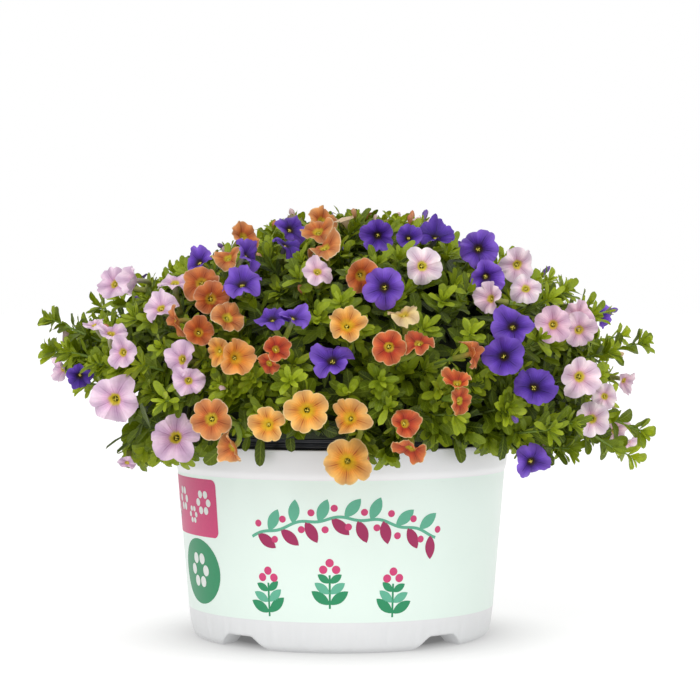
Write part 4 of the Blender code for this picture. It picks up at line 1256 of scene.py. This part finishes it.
def add_shoot(surface, shoot, rng):
    """A shoot's stem and its leaves, brighter towards the tip, with painted light and shade by where it ends.
    """
    line = [shoot.root.lerp(shoot.tip, t) for t in (0, 0.35, 0.6, 0.8, 1.0)]
    add_tube(surface, line, [SHOOT_RADIUS, 1.1, 0.95, 0.8, 0.5], 5)
    # Random tone, plus painted light and shade by where the shoot ends, and painted shade on hanging shoots
    lit = rng.uniform(-0.2, 0.2) + painted_light_at(shoot.tip) - (DIM_HANGING if shoot.kind == "drape" else 0)
    for leaf in shoot.leaves:
        tint = clamp(0.15 + 0.58 * leaf.share**2.4 + lit + rng.uniform(-0.22, 0.22))
        leaf.length *= LEAF_TRIM
        leaf.width *= LEAF_SLIM * rng.uniform(0.85, 1.15)
        hidden = shoot.kind == "fill" and leaf.share < HIDDEN_SHARE
        add_leaf(surface, leaf, tint, SMALL_GRID if hidden else LEAF_GRID, ripple=0.5)
    for leaf in shoot.young:
        add_leaf(surface, leaf, min(1.0, 0.8 + lit + rng.uniform(-0.12, 0.25)), SMALL_GRID, fold=0.4)


def add_bud(surface, shoot, tint, opening, rng):
    """A bud on a short stalk beside a shoot's tip, furled or opening, and held by narrow sepals."""
    tip, axis = shoot.tip, (shoot.tip - shoot.root).normalized()
    side, other = frame_along(axis, rng.uniform(0, 6))
    lean = (axis + side * 0.35 + other * rng.uniform(-0.3, 0.3)).normalized()
    foot = tip + lean * (rng.uniform(6, 11) * (0.3 if opening else 1))
    length, girth = rng.uniform(8, 13) * (0.8 if opening else 1), rng.uniform(1.7, 2.3)
    add_tube(surface, [tip, tip.lerp(foot, 0.5), foot], [0.7, 0.6, 0.9], 5)
    side, other = frame_along(lean)
    points, places = [], []
    for t, width in OPENING if opening else FURLED:
        for s in range(BUD_SIDES):
            radius = girth * width * (1 + (0.14 if s % 2 else -0.14))
            out = spoke(side, other, FULL_TURN * s / BUD_SIDES + 0.9 * t)
            points.append(flat(foot + lean * length * t + out * radius))
            places.append((s / BUD_SIDES, t, tint))
    surface.add(points, grid_faces(len(FURLED), BUD_SIDES, closed=True), places, 3)
    for k in range(SEPALS):
        radial = spoke(side, other, FULL_TURN * k / SEPALS)
        direction = (lean * 0.9 + radial * rng.uniform(0.3, 0.6)).normalized()
        normal = (lean * 0.4 - radial * 0.9).normalized()
        sepal = Leaf(foot + radial * 0.8, direction, normal, rng.uniform(6, 8.5), 2.2, 0.1)
        add_leaf(surface, sepal, rng.uniform(0.6, 0.9), SMALL_GRID)


def add_inner_leaf(surface, plant, blooms, rng):
    """A shaded leaf deep in the mound."""
    azimuth = plant * PLANT_SPAN + rng.uniform(-0.47, 0.47) * PLANT_SPAN
    base = mound_point(azimuth, math.asin(rng.uniform(-0.08, 1.0)), rng.uniform(0.72, 0.84))
    outward = (base - UP * (MOUND_CENTRE - 60)).normalized()
    side = frame_along(outward, rng.uniform(0, 6.3))[0]
    tilt = rng.uniform(0.1, 0.9)
    direction = (side * math.cos(tilt) + outward * math.sin(tilt)).normalized()
    normal = (outward * math.cos(tilt) - side * math.sin(tilt)).normalized()
    leaf = Leaf(base, direction, normal, rng.uniform(16, 25), rng.uniform(7, 11), rng.uniform(0.0, 0.3))
    # A low tint: painted shade for a leaf deep in the mound
    tint = rng.uniform(0, 0.22)
    if has_room(leaf, plant, blooms, 1.5):
        add_leaf(surface, leaf, tint, SMALL_GRID)


def add_hanging_leaves(surfaces, rng):
    """The broad leaves that hang over the rim at the front, darkened as painted shade under the mound."""
    for across, top, length, width, lean in HANGING_LEAVES:
        azimuth = math.asin(across / HANGING_REACH)
        outward, side = polar(1, azimuth), polar(1, azimuth + math.pi / 2)
        direction = (side * math.sin(lean) - UP * math.cos(lean) + outward * 0.12).normalized()
        normal = (outward - direction * outward.dot(direction)).normalized()
        leaf = Leaf(outward * HANGING_REACH + UP * top, direction, normal, length, width, 0.08)
        # A low tint: painted shade under the mound
        add_leaf(surfaces[plant_of(azimuth)], leaf, rng.uniform(0.02, 0.22), ripple=0.4)


def add_shaded_inside(surface, plant):
    """A rough dark wedge of painted shade, seen only between the leaves, and the woody stem below it."""
    middle = plant * PLANT_SPAN
    rng = random.Random(80 + plant)
    rows, columns = DARK_CORE_GRID
    azimuths = [middle + PLANT_SPAN * (c / (columns - 1) - 0.5) for c in range(columns)]
    points = [flat(polar(DARK_CORE_FOOT, azimuth, COLLAR_TOP - 4)) for azimuth in azimuths]
    for r in range(rows - 1):
        elevation = math.radians(-4 + 94 * r / (rows - 2))
        for azimuth in azimuths:
            points.append(flat(mound_point(azimuth, elevation, DARK_CORE_SHARE + rng.uniform(-0.035, 0.035))))
    # Painted shade: a dark sheet where the inside of the plant is only shadow
    surface.add(points, grid_faces(rows, columns), slot=2)
    line = [polar(CROWN_STEM_RING, middle, SOIL_TOP + rise) for rise in (-6, 8, 24)]
    add_tube(surface, line, [4.0, 3.4, 3.6], 10, 0.2)


def build_foliage(trusses):
    """The leaves, stems, stalks and painted-shade inside of each plant, in place of its solid."""
    blooms = [b for bunch in trusses for b in bunch.blooms]
    surfaces = [Surface() for _ in range(PLANTS)]
    rng = random.Random(3)
    for bunch in trusses:
        add_calyx(surfaces[bunch.plant], bunch, rng)
    places = [(kind, place) for kind, count in SHOOTS.items() for place in range(count)]
    for index, (kind, place) in enumerate(places):
        shoot = shoot_layout(kind, place, index, blooms)
        if shoot is None:
            continue
        surface, tip = surfaces[shoot.plant], shoot.tip
        add_shoot(surface, shoot, rng)
        far = tip.y > 0 or tip.z > FAR_HEIGHT
        step = FAR_BUD_STEP if far else BUD_STEP
        ahead = (tip - shoot.root).normalized()
        if index % step == 0 and all(is_free(tip + ahead * run, blooms, 4, 0.5) for run in BUD_CHECKS):
            add_bud(surface, shoot, rng.random(), far and index % (2 * step) == 0, rng)
    add_hanging_leaves(surfaces, rng)
    finishes = [leaf_finish(), stem_finish(), shade_finish(), bud_finish()]
    for plant, surface in enumerate(surfaces):
        for _ in range(INNER_LEAVES):
            add_inner_leaf(surface, plant, blooms, rng)
        add_shaded_inside(surface, plant)
        piece = surface.build(f"foliage_{plant + 1}", finishes)
        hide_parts(f"plant_{plant + 1}")


def wall_radius(height):
    """The white pot's outer radius below its rim band."""
    share = (height - HEEL_HEIGHT) / (POT_HEIGHT - BAND_HEIGHT - HEEL_HEIGHT)
    return HEEL_RADIUS + share * (SHOULDER_RADIUS - HEEL_RADIUS)


def liner_radius(height):
    """The black pot's outer radius inside the white pot's wall."""
    return wall_radius(height) - POT_WALL - LINER_GAP


def eased(profile, steps):
    """A profile of (radius, height, easing) with each corner rounded by its easing."""
    made = []
    for k, (radius, height, ease) in enumerate(profile):
        here = Vector((radius, height))
        if ease == 0 or k in (0, len(profile) - 1):
            made.append(here)
            continue
        before, after = Vector(profile[k - 1][:2]), Vector(profile[k + 1][:2])
        start = here + (before - here).normalized() * min(ease, 0.45 * (before - here).length)
        end = here + (after - here).normalized() * min(ease, 0.45 * (after - here).length)
        for j in range(steps + 1):
            t = j / steps
            made.append(start * (1 - t) ** 2 + here * 2 * t * (1 - t) + end * t * t)
    return made


def divided(line, longest):
    """A line of points, with more put in where two lie further apart than the longest step."""
    dense = []
    for here, there in zip(line, line[1:]):
        pieces = max(1, round((there - here).length / longest(here, there)))
        dense += [here.lerp(there, k / pieces) for k in range(pieces)]
    return dense


def turned_surface(profile, segments, shape=None):
    """A profile turned round +Z. shape(radius, azimuth, height) may move a point."""
    surface = Surface()
    points = []
    for spot in profile:
        for s in range(segments):
            azimuth = FULL_TURN * s / segments
            radius, height = shape(spot.x, azimuth, spot.y) if shape else spot
            points.append((radius * math.sin(azimuth), -radius * math.cos(azimuth), height))
    surface.add(points, grid_faces(len(profile), segments, closed=True))
    return surface


def pot_shape(radius, azimuth, height):
    """Lifts the foot over its four notches, and flutes the foot's wall."""
    if radius > FOOT_INNER - 6 and height < NOTCH_HEIGHT + 1:
        for notch in NOTCH_AZIMUTHS:
            turn = azimuth - math.radians(notch)
            off = abs(radius * math.sin(turn)) if math.cos(turn) > 0 else NOTCH_FOOT_WIDTH
            ramp = (NOTCH_FOOT_WIDTH / 2 - off) / (NOTCH_FOOT_WIDTH / 2 - NOTCH_TOP_WIDTH / 2 - 2)
            ramp = clamp(ramp)
            height = max(height, NOTCH_HEIGHT * (0.6 * ramp + 0.4 * ramp * ramp * (3 - 2 * ramp)))
    if radius > FOOT_OUTER + 2 and 2 < height < LABEL_LOW:
        fade = math.sin(math.pi * (height - 2) / (LABEL_LOW - 2))
        waves = sum(share * math.cos(count * azimuth + phase) for count, share, phase in FLUTES)
        radius -= FLUTE_DEPTH * fade * (0.5 + 0.5 * waves)
    return radius, height


def flute_step(here, there):
    """The longest step of the pot's profile: short where the foot's wall is fluted."""
    fluted = here.x > FOOT_OUTER and max(here.y, there.y) < LABEL_LOW + 2
    return FLUTE_STEP if fluted else math.inf


def build_pot():
    band = POT_HEIGHT - BAND_HEIGHT
    profile = [
        (0.01, FLOOR_UNDER, 0),
        (FOOT_INNER - 1, FLOOR_UNDER, 1.5),
        (FOOT_INNER, 0, 1.5),
        (FOOT_OUTER, 0, 2.0),
        (FOOT_OUTER + 4.4, 3.4, 3.0),
        (HEEL_RADIUS, HEEL_HEIGHT, 4.0),
        (wall_radius(LABEL_LOW + 1), LABEL_LOW + 1, 0),
        (SHOULDER_RADIUS, band, 1.8),
        (SHOULDER_RADIUS + BAND_STEP, band + 4, 1.8),
        (RIM_RADIUS, POT_HEIGHT, 1.1),
        (RIM_RADIUS - POT_WALL, POT_HEIGHT, 1.1),
        (SHOULDER_RADIUS - POT_WALL, band, 3.0),
        (wall_radius(FLOOR_TOP) - POT_WALL, FLOOR_TOP, 2.0),
        (0.01, FLOOR_TOP, 0),
    ]
    line = eased(profile, 4)
    dense = divided(line, flute_step) + [line[-1]]
    piece = turned_surface(dense, POT_SEGMENTS, pot_shape).build("white_pot", [pot_finish()])
    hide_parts("pot")


def build_liner():
    """The black inner pot, whose ribbed collar stands above the white rim."""
    collar, heel = liner_radius(POT_HEIGHT - BAND_HEIGHT), liner_radius(LINER_HEEL)
    under, floor = FLOOR_TOP + 0.3, FLOOR_TOP + 2
    profile = [(0.01, under, 0), (heel - 6, under, 2), (heel, LINER_HEEL, 2), (collar, COLLAR_LOW, 2)]
    for rib in RIB_HEIGHTS:
        profile += [(collar, rib, 0.6), (collar + COLLAR_RIB, rib + 1.2, 0.7), (collar, rib + 2.2, 0.6)]
    inside = collar - LINER_WALL
    profile += [(collar + COLLAR_RIB, COLLAR_TOP, 0.6), (inside, COLLAR_TOP, 0.6)]
    profile += [(inside, COLLAR_LOW + 2, 2), (heel - LINER_WALL, LINER_HEEL, 2), (0.01, floor, 0)]
    piece = turned_surface(eased(profile, 3), LINER_SEGMENTS).build("black_inner_pot", [black_finish()])
    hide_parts("inner_pot")


def soil_height(radius):
    return SOIL_TOP + SOIL_CROWN * (1 - (radius / CROWN_STEM_RING / 2) ** 2)


def build_soil():
    """A rough surface of peat with crumbs on it."""
    rng = random.Random(11)
    edge = liner_radius(SOIL_TOP - 16) - LINER_WALL - 2.4
    profile = [Vector((edge, SOIL_TOP - 60)), Vector((edge, SOIL_TOP - 4))]
    for k in range(SOIL_RINGS):
        radius = edge - (edge - 0.01) * k / (SOIL_RINGS - 1)
        profile.append(Vector((radius, soil_height(radius))))

    def rough(radius, azimuth, height):
        return radius, height + (rng.uniform(-1.4, 1.0) if height > SOIL_TOP - 15 and radius > 1 else 0)

    surface = turned_surface(profile, SOIL_SEGMENTS, rough)
    for _ in range(CRUMBS):
        radius, azimuth = edge * math.sqrt(rng.random()) * 0.97, rng.uniform(0, FULL_TURN)
        spot = (radius * math.sin(azimuth), -radius * math.cos(azimuth), soil_height(radius))
        add_ball(surface, spot, rng.uniform(1.0, 2.4), 5)
    piece = surface.build("peat", [soil_finish()])
    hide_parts("soil")


def on_wall(place, lift):
    """A point of the printed zone, at an arc length from the front and a height."""
    azimuth = place[0] / wall_radius(PRINT_DATUM)
    radius = wall_radius(place[1]) + lift
    return (radius * math.sin(azimuth), -radius * math.cos(azimuth), place[1])


def add_patch(surface, outline, middle):
    """A printed shape: rings of its outline drawn in to its middle, laid on the wall."""
    outline = [Vector(point) for point in outline]
    rings = max(4, math.ceil(max((point - middle).length for point in outline) / PRINT_STEP))
    shares = [1 - r / rings for r in range(rings)]
    spots = [middle + (point - middle) * share for share in shares for point in outline] + [middle]
    points = [on_wall(spot, surface.lift) for spot in spots]
    count, last = len(outline), (rings - 1) * len(outline)
    faces = grid_faces(rings, count, closed=True)
    faces += [(last + k, last + (k + 1) % count, rings * count) for k in range(count)]
    surface.add(points, faces)


def add_leaf_print(surface, foot, length, width, angle):
    """A pointed leaf, from its foot along an angle."""
    direction = Vector((math.cos(angle), math.sin(angle)))
    across = direction.orthogonal()
    outline = []
    for side in (1, -1):
        for k in range(9):
            t = k / 9 if side == 1 else 1 - k / 9
            half = side * width / 2 * math.sin(math.pi * t) ** 0.8
            outline.append(foot + direction * length * t + across * half)
    add_patch(surface, outline, foot + direction * length * 0.5)


def add_dot(surface, x, z, radius, height=None):
    """A printed dot, or an oval where a height is given."""
    turns = [FULL_TURN * k / 36 for k in range(36)]
    outline = [(x + radius * math.cos(turn), z + (height or radius) * math.sin(turn)) for turn in turns]
    add_patch(surface, outline, Vector((x, z)))


def add_stroke(surface, line, width):
    """A printed line of even width."""
    points = []
    for spot, ahead in zip(line, headings(line)):
        across = ahead.orthogonal() * width / 2
        points += [on_wall(spot + across, surface.lift), on_wall(spot - across, surface.lift)]
    surface.add(points, grid_faces(len(line), 2))


def add_panel(surface, low, high, bottom, top):
    """A printed panel with round corners."""
    left, right = low + PANEL_CORNER, high - PANEL_CORNER
    base, head = bottom + PANEL_CORNER, top - PANEL_CORNER
    outline = []
    for quarter, (x, z) in enumerate(((right, head), (left, head), (left, base), (right, base))):
        for k in range(7):
            turn = math.pi / 2 * (quarter + k / 6)
            outline.append(Vector((x + PANEL_CORNER * math.cos(turn), z + PANEL_CORNER * math.sin(turn))))
    outline = divided(outline + outline[:1], lambda *ends: PRINT_STEP)
    add_patch(surface, outline, Vector(((low + high) / 2, (bottom + top) / 2)))


def add_garland(inks):
    """A vine with leaves to either side in turn, and berries across from them."""
    vine = []
    for k in range(VINE_STEPS + 1):
        rise = VINE_RISE * math.sin(math.pi * k / VINE_STEPS)
        height = VINE_HEIGHT + rise + 1.2 * math.sin(k * 0.5)
        vine.append(Vector((VINE_START + VINE_LENGTH * k / VINE_STEPS, height)))
    add_stroke(inks["mint_green"], vine, 2.2)
    for k in range(2, VINE_STEPS - 1, 4):
        ahead = (vine[k + 1] - vine[k - 1]).normalized()
        angle = math.atan2(ahead.y, ahead.x)
        up = 1 if (k // 4) % 2 else -1
        ink = inks["deep_magenta"] if up < 0 else inks["mint_green"]
        add_leaf_print(ink, vine[k], 18, 8.5, angle + up * 1.05)
        berry = vine[k] + ahead * 4 - Vector((-math.sin(angle), math.cos(angle))) * up * 6.5
        add_dot(inks["magenta"], *berry, 2.6)


def add_sprig(inks, x, z, turn):
    """A stem with three pairs of leaves and three berries."""
    add_stroke(inks["green"], [Vector((x, z - 13 + k * 5)) for k in range(6)], 1.5)
    for step, (ink, length, width) in enumerate(SPRIG_LEAVES):
        for lean in (0.95, -0.95):
            foot = Vector((x, z - 10 + 8 * step))
            add_leaf_print(inks[ink], foot, length, width, math.pi / 2 + turn + lean)
    for side, up in SPRIG_BERRIES:
        add_dot(inks["magenta"], x + side, z + up, 3.1)


def build_print():
    """A plain printed design: a leafy garland, small sprigs, a panel and an oval with flowers of six dots."""
    inks = {name: Surface(2 * PRINT_LIFT if name == "pale" else PRINT_LIFT) for name in INKS}
    add_garland(inks)
    for sprig in SPRIGS:
        add_sprig(inks, *sprig)
    add_panel(inks["magenta"], *PANEL)
    add_dot(inks["green"], *OVAL)
    for x, z, size in DOT_FLOWERS:
        for k in range(6):
            turn = FULL_TURN * k / 6
            add_dot(inks["pale"], x + size * math.cos(turn), z + size * math.sin(turn), 0.42 * size)
    for name, surface in inks.items():
        piece = surface.build("print_" + name, [print_finish(name, INKS[name])])


def build_floor():
    """A wide pale floor, just under the pot."""
    mesh = bpy.data.meshes.new("floor")
    square = [(x * FLOOR_REACH, y * FLOOR_REACH, 0) for x, y in ((-1, -1), (1, -1), (1, 1), (-1, 1))]
    mesh.from_pydata(square, [], [(0, 1, 2, 3)])
    mesh.materials.append(floor_finish())
    floor = linked("floor", mesh)
    floor.location.z = -0.0002


def build_sky():
    """Light from a sky that is brighter overhead. To the camera it is plain white."""
    world = bpy.data.worlds.new("studio")
    world.use_nodes = True
    tree = world.node_tree
    heading = add_node(tree, "TexCoord", {}, "Generated").split()[2]
    rise = add_node(tree, "MapRange", {0: heading, 1: 0.0, 2: 1.0, 3: SKY_LOW, 4: SKY_HIGH})
    feed(tree, tree.nodes["Background"].inputs["Color"], rise)
    lit = Signal(tree, tree.nodes["Background"].outputs[0])
    seen = add_node(tree, "Background", {"Color": (1, 1, 1)})
    to_camera = add_node(tree, "LightPath", {}, "Is Camera Ray")
    sky = add_node(tree, "MixShader", {0: to_camera, 1: lit, 2: seen})
    feed(tree, tree.nodes["World Output"].inputs["Surface"], sky)
    bpy.context.scene.world = world


def build_camera():
    camera = linked("camera", bpy.data.cameras.new("camera"))
    camera.data.sensor_width = SENSOR
    camera.data.lens = SENSOR * FOCAL_PIXELS / IMAGE_SIDE
    camera.data.clip_end = 200
    camera.location = CAMERA_PLACE
    camera.rotation_euler = (math.pi / 2 + CAMERA_PITCH, 0, 0)
    bpy.context.scene.camera = camera
    bpy.context.scene.view_settings.view_transform = "Standard"


def build_stage():
    """A wide white floor, soft light from all round and above, and the camera."""
    build_floor()
    build_sky()
    for name, strength, spread, tilt, turn in LIGHTS:
        light = linked(name, bpy.data.lights.new(name, "SUN"))
        light.data.energy = strength
        light.data.angle = math.radians(spread)
        light.rotation_euler = (math.radians(tilt), 0, math.radians(turn))
    build_camera()


def main():
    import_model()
    build_stage()
    trusses = [front_truss(*entry) for entry in FRONT_BLOOMS] + [back_truss(*entry) for entry in BACK_TRUSSES]
    build_blooms(trusses)
    build_foliage(trusses)
    build_pot()
    build_liner()
    build_soil()
    build_print()


main()
